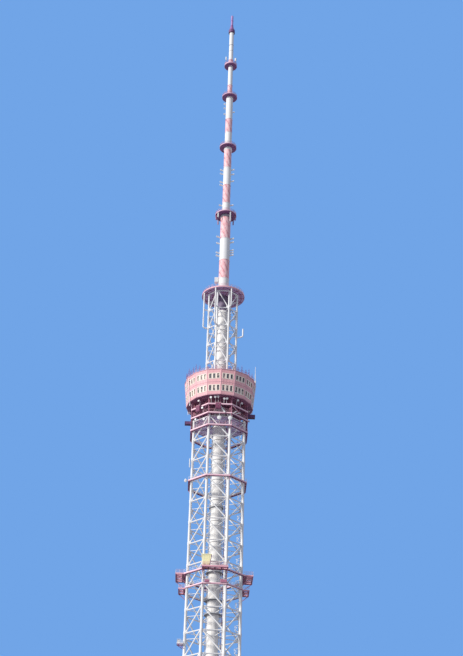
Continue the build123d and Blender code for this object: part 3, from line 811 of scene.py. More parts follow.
def polygonRods(radius, count, first, z, thickness, material):
    # one closed ring of straight rods, with its first corner at a turn from the front
    points = [aroundAxis(radius, first + 360 * i / count, z) for i in range(count)]
    return [rodBetween(a, b, thickness, material) for a, b in zip(points, points[1:] + points[:1])]


def railRing(s, floor, radius, material):
    # posts and level rails round the edge of a deck
    parts = []
    for height in s["rails"]:
        parts += polygonRods(radius, s["corners"], s["first"], floor + height, s["thickness"], material)
    for i in range(s["corners"]):
        a = aroundAxis(radius, s["first"] + 360 * i / s["corners"], floor)
        b = aroundAxis(radius, s["first"] + 360 * (i + 1) / s["corners"], floor)
        for share in s["posts"]:
            foot = a.lerp(b, share)
            parts.append(rodBetween(foot, foot + up(s["rails"][-1]), s["thickness"], material))
    return parts


# decks round the trunk: underside, radius over the corners, thickness
ringDecks = [(12.735, 1.035, 0.040), (13.195, 1.100, 0.045), (16.480, 1.088, 0.050)]
galleryDecks = [(18.360, 1.090, 0.048), (18.820, 1.090, 0.048), (19.150, 1.090, 0.048)]
deckRail = {"rails": (0.055, 0.11), "posts": (0.0, 0.25, 0.5, 0.75), "thickness": 0.0045,
            "corners": corners, "first": cornerTurn, "inset": 0.012}
joists = {"radius": 0.008, "drop": 0.009, "inset": 0.014, "leg": 0.995, "reach": 0.12, "lap": 0.05,
          "joists": (0.2, 0.4, 0.6, 0.8), "thin": 0.7}


def makeDeckRails(s, decks, name, material):
    parts = []
    for low, radius, thickness in decks:
        parts += railRing(s, low + thickness, radius - s["inset"], material)
    return finishPiece(parts, name)


def makeDeckJoists(s, decks, name):
    # brackets from each leg and joists under the plates
    parts = []
    for low, radius, _ in decks:
        under, edge = low - s["drop"], radius - s["inset"]
        parts += polygonRods(edge, corners, cornerTurn, under, s["radius"], maroonPaint)
        for i in range(corners):
            turn = cornerTurn + cornerStep * i
            for start in ((s["leg"], low - s["reach"]), (s["leg"] - s["lap"], under)):
                parts.append(rodAt(turn, start, (edge, under), s["radius"], maroonPaint))
            a, b = aroundAxis(s["leg"], turn, under), aroundAxis(s["leg"], turn + cornerStep, under)
            c, d = aroundAxis(edge, turn, under), aroundAxis(edge, turn + cornerStep, under)
            for share in s["joists"]:
                parts.append(rodBetween(a.lerp(b, share), c.lerp(d, share), s["radius"] * s["thin"],
                                        maroonPaint))
    return finishPiece(parts, name)


makeDeckRails(deckRail, ringDecks, "ringDeckRails", whitePaint)
makeDeckJoists(joists, ringDecks, "ringDeckJoists")
makeDeckRails(deckRail, galleryDecks[:2], "galleryRails", redPaint)
makeDeckJoists(joists, galleryDecks, "galleryJoists")

# gallery under the drum
gallery = {"postRadius": 0.010, "corner": 1.064, "apothem": 1.090 * cos(halfSide), "head": 19.461,
           "braceRadius": 0.006, "braceInset": 0.02, "middle": 18.820}


def makeGalleryPosts(s):
    parts = []
    floors = [low + thick for low, _, thick in galleryDecks]
    heads = [low for low, _, _ in galleryDecks[1:]] + [s["head"]]
    for floor, head in zip(floors, heads):
        for i in range(corners):
            turn = cornerTurn + cornerStep * i
            for radius, swing, thick in ((s["corner"], 0, s["postRadius"]),
                                         (s["apothem"] - s["braceInset"], cornerTurn, s["braceRadius"])):
                parts.append(rodAt(turn + swing, (radius, floor), (radius, head), thick, maroonPaint))
    return finishPiece(parts, "galleryPostTubes", stands=["gallery_posts"])


makeGalleryPosts(gallery)

floorPlate = {"level": 18.725, "corner": 0.985, "hole": 0.300, "thick": 0.010, "beam": 0.015,
              "beamDrop": 0.008, "hanger": 0.965, "edgeBeam": 0.970,
              "rings": ((0.46, maroonPaint), (0.66, whitePaint), (0.84, maroonPaint)), "ringBeam": 0.6}


def makeFloorPlate(s):
    # a floor that hangs under the middle deck, from the pipe out to the legs, with beams below
    bpy.ops.object.select_all(action="DESELECT")
    bpy.ops.mesh.primitive_circle_add(vertices=corners, radius=s["corner"], fill_type="NGON",
                                      location=(0, 0, s["level"]), rotation=(0, 0, halfSide))
    plate = bpy.context.object
    bpy.ops.object.transform_apply(location=True, rotation=True, scale=True)
    bpy.ops.object.mode_set(mode="EDIT")
    bpy.ops.mesh.select_all(action="SELECT")
    bpy.ops.mesh.inset(thickness=(s["corner"] - s["hole"]) * cos(halfSide))
    bpy.ops.mesh.delete(type="FACE")
    bpy.ops.mesh.select_all(action="SELECT")
    bpy.ops.mesh.solidify(thickness=s["thick"])
    bpy.ops.mesh.normals_make_consistent(inside=False)
    bpy.ops.object.mode_set(mode="OBJECT")
    plate.data.materials.append(floorPaint)
    parts = [plate]
    z, beam = s["level"] - s["beamDrop"], s["beam"]
    for i in range(2 * corners):
        turn = cornerTurn * i
        atCorner = i % 2
        reach = s["corner"] * (1 if atCorner else cos(halfSide)) - 0.004
        parts.append(rodAt(turn, (s["hole"] + 0.01, z), (reach, z), beam,
                           duskPaint if atCorner else whitePaint))
        if atCorner:
            parts.append(rodAt(turn, (s["hanger"], z), (s["hanger"], gallery["middle"] + 0.01), beam,
                               maroonPaint))
            parts.append(rodBetween(aroundAxis(s["edgeBeam"], turn, z),
                                    aroundAxis(s["edgeBeam"], turn + cornerStep, z), beam, duskPaint))
    for radius, finish in s["rings"]:
        parts += polygonRods(radius, corners, -cornerTurn, z, beam * s["ringBeam"], finish)
    return finishPiece(parts, "galleryFloorPlate")


makeFloorPlate(floorPlate)

# equipment cabinets: turn of the side, underside, offset along the side, width, depth, height
cabinets = [(turn, 18.950, offset, 0.190, 0.120, 0.225)
            for turn, offset in ((0, -0.065), (-45, 0.015), (180, -0.065), (135, 0.015))]
brackets = [(90, 19.140, 0.0, 0.180, 0.260, 0.110), (-90, 18.790, 0.0, 0.160, 0.210, 0.110)]
cabinetSettings = {"start": 0.0005, "lid": 0.012, "lidLap": 0.004, "doorGap": 0.006, "grip": 0.03,
                   "slats": 4, "slatPitch": 0.011, "slatHalf": 0.028, "slatThick": 0.005,
                   "edge": 0.008, "tube": 0.007, "thinTube": 0.006, "shares": (0.33, 0.66)}


def cabinetParts(s, z, offset, width, depth, height):
    # body and lid, two doors with a handle each, and slats near the top
    near, far, top = gallery["apothem"] + s["start"], gallery["apothem"] + depth, z + height
    made = [bevelledBox((near, offset - width / 2, z), (far - 0.006, offset + width / 2, top - s["lid"]),
                        cabinetPaint, 0.004),
            bevelledBox((near, offset - width / 2 - s["lidLap"], top - s["lid"] - 0.002),
                        (far, offset + width / 2 + s["lidLap"], top), redPaint, 0.003)]
    for side in (-1, 1):
        middle, half = offset + side * width / 4, width / 4 - s["doorGap"]
        made.append(bevelledBox((far - 0.008, middle - half, z + 0.012),
                                (far - 0.002, middle + half, top - 0.028), cabinetPaint, 0.002))
        grip = Vector((far + 0.001, offset + side * 0.012, z + height * 0.45))
        made.append(rodBetween(grip, grip + up(s["grip"]), 0.003, greySteel))
        for row in range(s["slats"]):
            slat = z + height * 0.66 + row * s["slatPitch"]
            made.append(bevelledBox((far - 0.004, middle - s["slatHalf"], slat),
                                    (far, middle + s["slatHalf"], slat + s["slatThick"]),
                                    maroonPaint, 0.0015))
    return made


def bracketParts(s, z, offset, width, depth, height):
    # an open frame of tubes round a dark box
    near, far = gallery["apothem"] + s["start"], gallery["apothem"] + depth - 0.006
    half, low, top = width / 2 - s["edge"], z + s["edge"], z + height - s["edge"]
    made = [bevelledBox((near, offset - half + 0.002, low + 0.002),
                        (far - 0.004, offset + half - 0.002, top - 0.002), duskPaint, 0.004)]
    for y in (offset - half, offset + half):
        for (x0, z0), (x1, z1), thick in (((near, top), (far, top), s["tube"]),
                                          ((near, low), (far, top), s["thinTube"]),
                                          ((far, low), (far, top), s["tube"]),
                                          ((near, low), (far, low), s["tube"])):
            made.append(rodBetween((x0, y, z0), (x1, y, z1), thick, duskPaint))
    for x in [near + depth * share for share in s["shares"]] + [far]:
        for level in (low, top):
            made.append(rodBetween((x, offset - half, level), (x, offset + half, level), s["thinTube"],
                                   duskPaint))
    return made


def makeCabinets(s):
    parts = [turnedPart(cabinetParts(s, *place), turn - 90) for turn, *place in cabinets]
    parts += [turnedPart(bracketParts(s, *place), turn - 90) for turn, *place in brackets]
    return finishPiece(parts, "galleryCabinetDoors", stands=["gallery_cabinets"])


makeCabinets(cabinetSettings)

dish = {"radius": 0.075, "depth": 0.055, "face": gallery["apothem"] - 0.004, "offsets": (-0.015, 0.365),
        "z": 18.625, "foot": 18.408, "head": 18.820, "pole": 0.010, "poleAt": gallery["apothem"] - 0.010,
        "clamp": (0.016, 0.012, 0.014, 0.006), "clampLift": 0.03, "sides": 28,
        "profile": ((0, 0.30), (0.16, 0.34), (0.18, 0.55), (0.42, 0.97), (0.46, 1), (0.68, 1),
                    (0.72, 0.95), (0.88, 0.72), (1.0, 0.30))}


def makeDishes(s):
    # covered dishes: a hub, a dished back, a rim and a domed cover, clamped to a pole
    parts = []
    profile = [(share, s["radius"] * width) for share, width in s["profile"]]
    wide, front, back, high = s["clamp"]
    for turn in (0, 180):
        for offset in s["offsets"]:
            hub = Vector((offset, -s["face"], s["z"]))
            made = [turnAlong(hub, hub - Vector((0, s["depth"], 0)), profile, s["sides"], whitePaint),
                    rodBetween((offset, -s["poleAt"], s["foot"]), (offset, -s["poleAt"], s["head"]),
                               s["pole"], greySteel)]
            for z in (s["z"] - s["clampLift"], s["z"] + s["clampLift"]):
                made.append(bevelledBox((offset - wide, -s["poleAt"] - front, z - high),
                                        (offset + wide, -s["poleAt"] + back, z + high), greySteel, 0.002))
            parts.append(turnedPart(made, turn))
    return finishPiece(parts, "galleryDishCovers", stands=["gallery_dishes"])


makeDishes(dish)


def flatSwing(turn):
    # how far a turn is from the middle of its flat side
    return (turn + cornerTurn) % cornerStep - cornerTurn


# small horns on the gallery: turn from the front, height
hornPlaces = [
    (-71, 19.41), (-45, 19.39), (-17.5, 19.38), (-9.6, 19.41), (-4, 19.42), (7.5, 19.35), (12.5, 19.36),
    (35, 19.39), (46, 19.35), (88, 19.40), (-35, 19.05), (-51.5, 18.70), (-30, 18.58), (86, 18.98),
    (110, 19.40), (135, 19.37), (152, 19.40), (176, 19.38), (-160, 19.41), (-128, 19.36), (-104, 19.39),
]
horn = {"length": 0.080, "throat": 0.014, "mouth": 0.042, "stem": 0.006, "inset": 0.012, "sides": 12}


def makeHorns(s):
    parts = []
    throat, mouth = s["throat"], s["mouth"]
    profile = [(0, throat * 1.3), (0.12, throat * 1.3), (0.16, throat), (0.5, throat * 1.5),
               (0.86, mouth * 0.9), (0.9, mouth), (1.0, mouth)]
    master = turnAlong((0, 0, 0), (0, -s["length"], 0), profile, s["sides"], whitePaint)
    floors = [low + thick for low, _, thick in galleryDecks]
    for turn, z in hornPlaces:
        reach = (gallery["apothem"] - s["inset"]) / cos(radians(flatSwing(turn)))
        spot = aroundAxis(reach, turn, z)
        parts.append(copyOf(master, Matrix.Translation(spot) @ turnBy(turn)))
        floor = max(f for f in floors if f < z)
        parts.append(rodBetween((spot.x, spot.y, floor), spot, s["stem"], whitePaint))
    bpy.data.objects.remove(master)
    return finishPiece(parts, "galleryHorns")


makeHorns(horn)

# slanting bars across the front of the gallery: two ends as turn and height, radius, finish
slants = [((-0.8, 19.11), (9.6, 18.84), 0.028, whitePaint), ((24, 19.11), (45, 18.92), 0.012, redPaint),
          ((25, 18.82), (33.5, 18.97), 0.015, whitePaint), ((32, 18.86), (44, 18.98), 0.015, whitePaint)]
slants += [((turn, 19.14), (end, 18.88), 0.006, maroonPaint)
           for turn, end in ((-24, -36), (58, 76), (150, 164), (-140, -124))]
slantProud = 0.022


def makeSlants():
    parts = []
    for *ends, radius, material in slants:
        start, end = [aroundAxis((gallery["apothem"] + slantProud) / cos(radians(flatSwing(turn))), turn, z)
                      for turn, z in ends]
        parts.append(rodBetween(start, end, radius, material))
    return finishPiece(parts, "gallerySlantBars")


makeSlants()
print("gallery is dressed")

# balconies, the small side platform and the control cabin
balcony = {"reach": 1.280, "half": 0.430, "start": 1.017, "floor": 13.240, "under": 13.195, "rod": 0.0045,
           "inset": 0.012, "edgeRod": 0.012, "joistRod": 0.007, "braceRod": 0.011, "brace": 0.30,
           "braceLeg": 0.905, "braceSpread": 0.36,
           "rails": (0.04, 0.075, 0.11), "posts": 6, "rail": redPaint, "joist": redPaint, "edge": maroonPaint}
lowBalcony = {**balcony, "reach": 1.1665, "half": 0.300, "start": 0.957, "floor": 12.775, "under": 12.735,
              "posts": 4, "brace": 0.20}
sideStage = {**balcony, "reach": 1.130, "half": 0.110, "start": 0.930, "floor": 10.925, "under": 10.890,
             "posts": 2, "brace": 0.14, "rail": whitePaint, "joist": violetPaint, "edge": violetPaint,
             "offset": -0.366, "box": ((-1.115, -0.460, 10.926), (-1.035, -0.380, 11.010)),
             "lid": ((-1.120, -0.465, 11.008), (-1.030, -0.375, 11.018))}


def balconyParts(s):
    # for the side facing +X: rails on three sides, joists under the plate, braces down to the trunk
    parts = []
    far, half, start = s["reach"] - s["inset"], s["half"] - s["inset"], s["start"]
    top, edge, joist = s["floor"] + s["rails"][-1], s["under"] - 0.008, s["under"] + 0.010
    outline = [(start, -half), (far, -half), (far, half), (start, half)]
    for (x0, y0), (x1, y1) in zip(outline, outline[1:]):
        for height in s["rails"]:
            z = s["floor"] + height
            parts.append(rodBetween((x0, y0, z), (x1, y1, z), s["rod"], s["rail"]))
        parts.append(rodBetween((x0, y0, edge), (x1, y1, edge), s["edgeRod"], s["edge"]))
    for i in range(s["posts"] + 1):
        y = -half + 2 * half * i / s["posts"]
        parts.append(rodBetween((far, y, s["floor"]), (far, y, top), s["rod"], whitePaint))
        parts.append(rodBetween((start, y, joist), (far, y, joist), s["joistRod"], s["joist"]))
    middle = (start + far) / 2
    for side in (-1, 1):
        y = side * half
        parts.append(rodBetween((middle, y, s["floor"]), (middle, y, top), s["rod"], whitePaint))
        parts.append(rodBetween((s["braceLeg"], side * min(half, s["braceSpread"]), s["under"] - s["brace"]),
                                (far - 0.02, y, s["under"] - 0.01), s["braceRod"], s["edge"]))
    return parts


def makeBalconies():
    parts = [turnedPart(balconyParts(balcony), turn) for turn in (0, 90, 180, 270)]
    parts += [turnedPart(balconyParts(lowBalcony), turn) for turn in (0, 180)]
    finishPiece(parts, "balconyRails")
    stage = turnedPart(balconyParts(sideStage), 180)
    stage.location.y = sideStage["offset"]
    box = bevelledBox(*sideStage["box"], whitePaint, 0.004)
    lid = bevelledBox(*sideStage["lid"], greySteel, 0.003)
    finishPiece([stage, box, lid], "sidePlatformRails")


makeBalconies()

cabin = {
    "x": -0.282, "y": -1.125, "z": 13.240, "width": 0.208, "depth": 0.170, "height": 0.362, "flare": 0.052,
    "band": (0.190, 0.315), "base": 0.030, "inset": 0.005, "lip": 0.010, "lap": 0.004,
    "shadeEdgeRod": 0.012, "barRod": 0.0055, "frontBars": (-1, -0.5, 0, 0.5, 1), "sideBars": (-0.33, 0.33),
    "door": (0.035, 0.012, 0.165), "vent": (0.06, 0.03, 0.045),
}


def makeCabin(s):
    # walls that lean out, a dark skirt, a band of windows let in, and a roof with a lip
    def outset(height):
        return s["flare"] * height / s["height"]

    (low, high), base, top = s["band"], s["base"], s["height"]
    stations = [(0.0, 0.0), (base, outset(base)), (base + 0.003, outset(base) - 0.004),
                (low, outset(low) - 0.002), (low, outset(low) - s["inset"]),
                (high, outset(high) - s["inset"]), (high, outset(high)), (top - 0.01, outset(top)),
                (top - 0.01, s["flare"] + s["lip"]), (top + 0.012, s["flare"] + s["lip"]),
                (top + 0.018, s["flare"] - 0.02), (top + 0.018, s["flare"] - 0.06)]
    bpy.ops.object.select_all(action="DESELECT")
    bpy.ops.mesh.primitive_plane_add(size=1)
    shell = bpy.context.object
    shell.scale = (s["width"], s["depth"], 1)
    bpy.ops.object.transform_apply(location=True, rotation=True, scale=True)
    bpy.ops.object.mode_set(mode="EDIT")
    bpy.ops.mesh.select_all(action="SELECT")
    for (z0, o0), (z1, o1) in zip(stations, stations[1:]):
        grow = [(s[size] + 2 * o1) / (s[size] + 2 * o0) for size in ("width", "depth")]
        bpy.ops.mesh.extrude_region_move(TRANSFORM_OT_translate={"value": (0, 0, z1 - z0)})
        bpy.ops.transform.resize(value=(*grow, 1), center_override=(0, 0, z1))
    bpy.ops.object.mode_set(mode="OBJECT")
    for material in (creamPaint, cabinPane, maroonPaint):
        shell.data.materials.append(material)
    for face in shell.data.polygons:
        z = face.center.z
        if low + 0.01 < z < high - 0.01:
            face.material_index = 1
        elif z < base + 0.002:
            face.material_index = 2

    x, y = s["width"] / 2, s["depth"] / 2
    # a dark rod up the front right corner is painted shade of the cabin's right side
    parts = [shell, rodBetween((x + s["lap"], -y, 0),
                               (x + s["flare"] + s["lap"], -y - s["flare"], top - 0.01),
                               s["shadeEdgeRod"], duskPaint)]
    ends = [(z, x + outset(z) - s["lap"], y + outset(z) - s["lap"]) for z in (low, high)]
    bars = [[(share * wide, side * deep, z) for z, wide, deep in ends]
            for side in (-1, 1) for share in s["frontBars"]]
    middleOut = (outset(low) + outset(high)) / 2
    bars += [[(side * wide, share * (y + middleOut), z) for z, wide, _ in ends]
             for side in (-1, 1) for share in s["sideBars"]]
    parts += [rodBetween(a, b, s["barRod"], creamPaint) for a, b in bars]
    doorHalf, doorFoot, doorHead = s["door"]
    parts.append(bevelledBox((-doorHalf, y + 0.004, doorFoot), (doorHalf, y + 0.016, doorHead), greySteel,
                             0.003))
    ventX, ventY, ventRise = s["vent"]
    parts.append(turnAlong((ventX, ventY, top + 0.01), (ventX, ventY, top + 0.01 + ventRise),
                           [(0, 0.014), (0.6, 0.014), (0.62, 0.024), (1, 0.016)], 12, greySteel))
    room = joinParts(parts)
    room.location = (s["x"], s["y"], s["z"])
    return finishPiece([room], "cabinShell", stands=["cabin_walls", "cabin_roof"])


makeCabin(cabin)
print("balconies and cabin are dressed")

# drum
drum = {
    "sides": 16, "floor": 19.461, "height": 0.961, "low": 1.182, "high": 1.275,
    "rows": ((0.155, 0.350), (0.615, 0.785)), "window": 0.078, "pitch": 0.140, "margin": 0.026,
    "proud": 0.006, "back": -0.004, "rib": 0.008, "rim": 0.015, "frameBevel": 0.0015,
    "middleFloor": 0.48, "middleRim": 0.009, "barRod": 0.0035, "barDepth": -0.012,
    "battenRows": ((0.402, 0.565), (0.836, 0.925)), "battens": (-0.165, -0.055, 0.055, 0.165),
    "underDrop": 0.012, "underBeam": 0.011, "underRings": (0.42, 0.72, 1.02), "underRing": 0.010,
}
facetHalf = pi / drum["sides"]
facetLean = atan2((drum["high"] - drum["low"]) * cos(facetHalf), drum["height"])


def drumCorner(s, height):
    return s["low"] + (s["high"] - s["low"]) * height / s["height"]


def facetPlace(s, height):
    # from flat on the ground at the origin, facing +X, to the middle of a facet at a height
    return (Matrix.Translation((drumCorner(s, height) * cos(facetHalf), 0, s["floor"] + height))
            @ Matrix.Rotation(facetLean, 4, "Y"))


def makeDrumFrames(s):
    # a frame with three openings round each facet's windows, a bar down each window, and battens between
    parts = []
    inner, outer, margin = s["back"], s["proud"], s["margin"]
    glassHalf = s["window"] / 2
    wide = s["pitch"] + glassHalf
    for sill, head in s["rows"]:
        half = (head - sill) / 2
        made = []
        for side in (-1, 1):
            # the long rail above or below, the outer post, and the post between two windows
            for low, high in (((inner, -wide - margin, side * half),
                               (outer, wide + margin, side * (half + margin))),
                              ((inner, side * wide, -half), (outer, side * (wide + margin), half)),
                              ((inner, side * glassHalf, -half),
                               (outer - 0.001, side * (s["pitch"] - glassHalf), half))):
                made.append(bevelledBox(low, high, framePaint, s["frameBevel"]))
        for middle in (-s["pitch"], 0, s["pitch"]):
            made.append(rodBetween((s["barDepth"], middle, -half), (s["barDepth"], middle, half),
                                   s["barRod"], greySteel))
            made.append(bevelledBox((outer - 0.002, middle - glassHalf, -half - 0.005),
                                    (outer + 0.008, middle + glassHalf, -half + 0.001), framePaint, 0.001))
        parts.append(joinParts(made))
        parts[-1].matrix_world = facetPlace(s, (sill + head) / 2)
    for low, high in s["battenRows"]:
        half = (high - low) / 2
        parts.append(joinParts([bevelledBox((-0.002, y - 0.004, -half), (0.004, y + 0.004, half),
                                            drumPaint, 0.001) for y in s["battens"]]))
        parts[-1].matrix_world = facetPlace(s, (low + high) / 2)
    return finishPiece(ringOf(joinParts(parts), s["sides"], 180 / s["sides"]), "drumWindowFrames")


def makeDrumEdges(s):
    # ribs on the corners, rims at floor and roof, and the edge of the middle floor
    parts = []
    foot, top = s["floor"], s["floor"] + s["height"]
    for i in range(s["sides"]):
        parts.append(rodAt(360 / s["sides"] * i, (s["low"], foot + 0.012), (s["high"], top - 0.01),
                           s["rib"], redPaint))
    for radius, z, thickness in ((s["low"], foot + 0.008, s["rim"]), (s["high"], top - 0.008, s["rim"]),
                                 (drumCorner(s, s["middleFloor"]), foot + s["middleFloor"], s["middleRim"])):
        parts += polygonRods(radius, s["sides"], 0, z, thickness, redPaint)
    return finishPiece(parts, "drumEdges")


def makeDrumUnder(s):
    # beams under the drum's floor
    parts = []
    z = s["floor"] - s["underDrop"]
    for i in range(s["sides"]):
        parts.append(rodAt(360 / s["sides"] * i, (0.24, z), (s["low"] - 0.03, z), s["underBeam"],
                           maroonPaint))
    for radius in s["underRings"]:
        parts += polygonRods(radius, s["sides"], 0, z, s["underRing"], maroonPaint)
    return finishPiece(parts, "drumUnderBeams")


drumRail = {"rails": (0.05, 0.10), "posts": (0.0, 0.34, 0.67), "thickness": 0.0045, "corners": 16,
            "first": 0, "inset": 0.02}
# aerials on the roof's edge: turn from the front, height, radius
roofAerials = [
    (-82, 0.34, 0.008), (-76, 0.26, 0.008), (-67, 0.38, 0.009), (-60, 0.24, 0.008), (-53, 0.30, 0.008),
    (-46, 0.36, 0.009), (-38, 0.26, 0.008), (-22, 0.14, 0.006), (-8, 0.17, 0.005), (14, 0.15, 0.006),
    (28, 0.20, 0.006), (36, 0.30, 0.009), (45, 0.22, 0.008), (53, 0.32, 0.009), (64, 0.24, 0.007),
    (104, 0.30, 0.008), (120, 0.20, 0.006), (141, 0.26, 0.006), (163, 0.18, 0.006), (-160, 0.24, 0.006),
    (-134, 0.17, 0.006), (-108, 0.28, 0.006),
]
roofAerial = {"inset": 0.035, "crossRod": 0.0055, "crossRise": 0.35,
              "profile": ((0, 2.2), (0.06, 2.2), (0.08, 1), (0.55, 1), (0.57, 0.6), (1, 0.5)),
              "crosses": ((0.35, 0.055), (0.55, 0.05), (0.75, 0.04))}      # share of the height, half length
whip = {"turn": 90, "height": 0.80, "inset": 0.02, "base": 0.022, "coil": 0.032, "radius": 0.014}
roofBoxes = {"turns": (-30, 60, 150, 240), "radius": 0.9, "size": (0.09, 0.13, 0.075),
             "hatchTurn": 15, "hatchRadius": 0.85, "hatchSize": (0.12, 0.12, 0.03)}


def turnedBox(foot, size, turn, material):
    # a box that stands on a point, turned with its place round the tower
    x, y, z = size
    block = bevelledBox((-x / 2, -y / 2, 0), (x / 2, y / 2, z), material, 0.004)
    block.matrix_world = Matrix.Translation(foot) @ turnBy(turn)
    return block


def makeRoof(s):
    # rail, aerials with cross bars, a coiled whip, boxes and a hatch
    top = s["floor"] + s["height"]
    parts = railRing(drumRail, top, s["high"] - drumRail["inset"], redPaint)
    for turn, height, radius in roofAerials:
        foot = aroundAxis(s["high"] - roofAerial["inset"], turn, top)
        profile = [(share, radius * width) for share, width in roofAerial["profile"]]
        parts.append(turnAlong(foot, foot + up(height), profile, 8, violetPaint))
        for share, reach in roofAerial["crosses"]:
            centre = foot + up(height * share)
            side = Vector((cos(radians(turn)), sin(radians(turn)), roofAerial["crossRise"])) * reach
            parts.append(rodBetween(centre - side, centre + side, roofAerial["crossRod"], violetPaint))
    foot = aroundAxis(s["high"] - whip["inset"], whip["turn"], top)
    base, coil, radius = whip["base"], whip["coil"], whip["radius"]
    profile = [(0, base), (0.08, base), (0.10, radius), (0.16, radius), (0.17, coil), (0.27, coil),
               (0.28, radius), (0.6, radius), (0.61, radius * 0.7), (1, radius * 0.5)]
    parts.append(turnAlong(foot, foot + up(whip["height"]), profile, 10, whitePaint))
    for turn in roofBoxes["turns"]:
        parts.append(turnedBox(aroundAxis(roofBoxes["radius"], turn, top), roofBoxes["size"], turn,
                               greySteel))
    turn = roofBoxes["hatchTurn"]
    parts.append(turnedBox(aroundAxis(roofBoxes["hatchRadius"], turn, top), roofBoxes["hatchSize"], turn,
                           whitePaint))
    return finishPiece(parts, "drumRoofRail")


# pipes up the outside of the drum: turn from the front, low and high end over the drum's floor, radius
outsidePipes = [(78.75, -0.05, 0.93, 0.014), (67.5, -0.10, 0.60, 0.010), (-63, -0.10, 0.88, 0.011),
                (-71, 0.30, 0.93, 0.009), (101, -0.06, 0.80, 0.010), (-112, -0.06, 0.86, 0.010)]
pipeClamps = {"gap": 0.022, "grow": 1.3, "shares": (0.25, 0.55, 0.85), "reach": 0.045, "rod": 0.006}


def makeOutsidePipes(s, clamps):
    parts = []
    for turn, low, high, radius in outsidePipes:
        ends = []
        for height in (low, high):
            swing = turn % (360 / s["sides"]) - 180 / s["sides"]
            face = drumCorner(s, height) * cos(facetHalf) / cos(radians(swing)) + radius + clamps["gap"]
            ends.append(aroundAxis(face, turn, s["floor"] + height))
        wide = radius * clamps["grow"]
        parts.append(turnAlong(*ends, [(0, radius), (0.02, wide), (0.04, radius), (0.96, radius),
                                       (0.98, wide), (1, radius)], 10, whitePaint))
        inward = aroundAxis(1.0, turn, 0) * -clamps["reach"]
        for share in clamps["shares"]:
            clamp = ends[0].lerp(ends[1], share)
            parts.append(rodBetween(clamp + inward, clamp, clamps["rod"], whitePaint))
    return finishPiece(parts, "drumOutsidePipes")


makeDrumFrames(drum)
makeDrumEdges(drum)
makeDrumUnder(drum)
makeRoof(drum)
makeOutsidePipes(drum, pipeClamps)
print("drum is dressed")

# disc on the upper trunk, and the aerial frames under it
disc = {"radius": 0.795, "low": 24.120, "high": 24.175, "beam": 0.011, "hub": 0.22, "rim": 0.010,
        "rings": (0.40, 0.70), "ring": 0.008, "collarOut": 0.035, "collar": 0.013}
discRail = {"rails": (0.05, 0.10), "posts": (0.0,), "thickness": 0.0045, "corners": 32, "first": 0,
            "inset": 0.02}


def makeDisc(s):
    # rolled rim, beams underneath, and a rail on top
    parts = [torusAt(z, s["radius"] - 0.004, s["rim"], 72, redPaint)
             for z in (s["low"] + 0.006, s["high"] - 0.006)]
    under = s["low"] - 0.010
    for i in range(2 * corners):
        parts.append(rodAt(cornerTurn * i, (s["hub"], under), (s["radius"] - 0.02, under),
                           s["beam"] * (1.0 if i % 2 else 0.7), maroonPaint))
    parts += polygonRods(upper["radius"] + s["collarOut"], corners, cornerTurn, under - 0.012,
                         s["collar"], whitePaint)
    for radius in s["rings"]:
        parts += polygonRods(radius, 2 * corners, 0, under, s["ring"], maroonPaint)
    parts += railRing(discRail, s["high"], s["radius"] - discRail["inset"], redPaint)
    return finishPiece(parts, "discRimAndBeams")


makeDisc(disc)

# posts hung under the disc's edge: turn from the front, foot, heights of the ties
hungPosts = [(-67.5, 22.600, (22.625, 23.395)), (-22.5, 22.600, (22.625, 23.395)), (22.5, 23.350, (23.395,)),
             (157.5, 23.350, (23.395,))]
hungFrames = {
    "at": 0.765, "post": 0.029, "tie": 0.024, "thin": 0.006, "pitch": 0.24, "sprigOut": 0.03,
    "sprigHalf": 0.02, "near": upper["radius"] + upper["legRadius"] - 0.003,
    # the bent tube on the right: turn from the front, foot, distance from the axis, height
    "bend": (67.5, 22.285, 0.820, 0.325),
}


def makeHungFrames(s):
    # bent posts with ties to the trunk and small cross aerials, and one short bend
    parts = []
    at, near, half = s["at"], s["near"], s["sprigHalf"]
    for turn, foot, ties in hungPosts:
        low = ties[0]
        parts += bentRod(turn, [(at, disc["low"]), (at, low + 0.05), (at - 0.012, low + 0.018),
                                (at - 0.045, low), (near, low)], s["post"], whitePaint)
        parts += [rodAt(turn, (near, z), (at, z), s["tie"], whitePaint) for z in ties[1:]]
        across = Vector((cos(radians(turn)), sin(radians(turn)), 0)) * half
        for i in range(int((disc["low"] - foot) / s["pitch"])):
            z = foot + s["pitch"] * (i + 0.6)
            middle = aroundAxis(at + s["sprigOut"], turn, z)
            parts.append(rodBetween(aroundAxis(at, turn, z), middle, s["thin"], whitePaint))
            parts.append(rodBetween(middle - across, middle + across, s["thin"], whitePaint))
    turn, low, radius, height = s["bend"]
    parts += bentRod(turn, [(radius, low + height), (radius, low + 0.04), (radius - 0.015, low + 0.012),
                            (radius - 0.05, low), (near, low)], s["post"], whitePaint)
    return finishPiece(parts, "hungFrameTubes", stands=["hung_frames"])


makeHungFrames(hungFrames)
print("disc is dressed")

# aerial mast: levels where its sections meet, and their radii from below
mastTops = [24.175, 24.920, 25.755, 26.745, 27.860, 28.450, 29.330, 30.200, 31.225, 31.995, 32.698, 33.880,
            34.540, 35.600, 35.957, 37.500]
mastRadii = [0.1975, 0.195, 0.195, 0.195, 0.150, 0.150, 0.150, 0.150, 0.140, 0.140, 0.140, 0.0975, 0.0975,
             0.091, 0.091]
# round platforms: underside, radius, thickness, radius of the mast below
mastRings = [(27.860, 0.410, 0.045, 0.195), (31.225, 0.3375, 0.045, 0.150), (33.880, 0.3075, 0.045, 0.140),
             (35.600, 0.260, 0.065, 0.0975)]
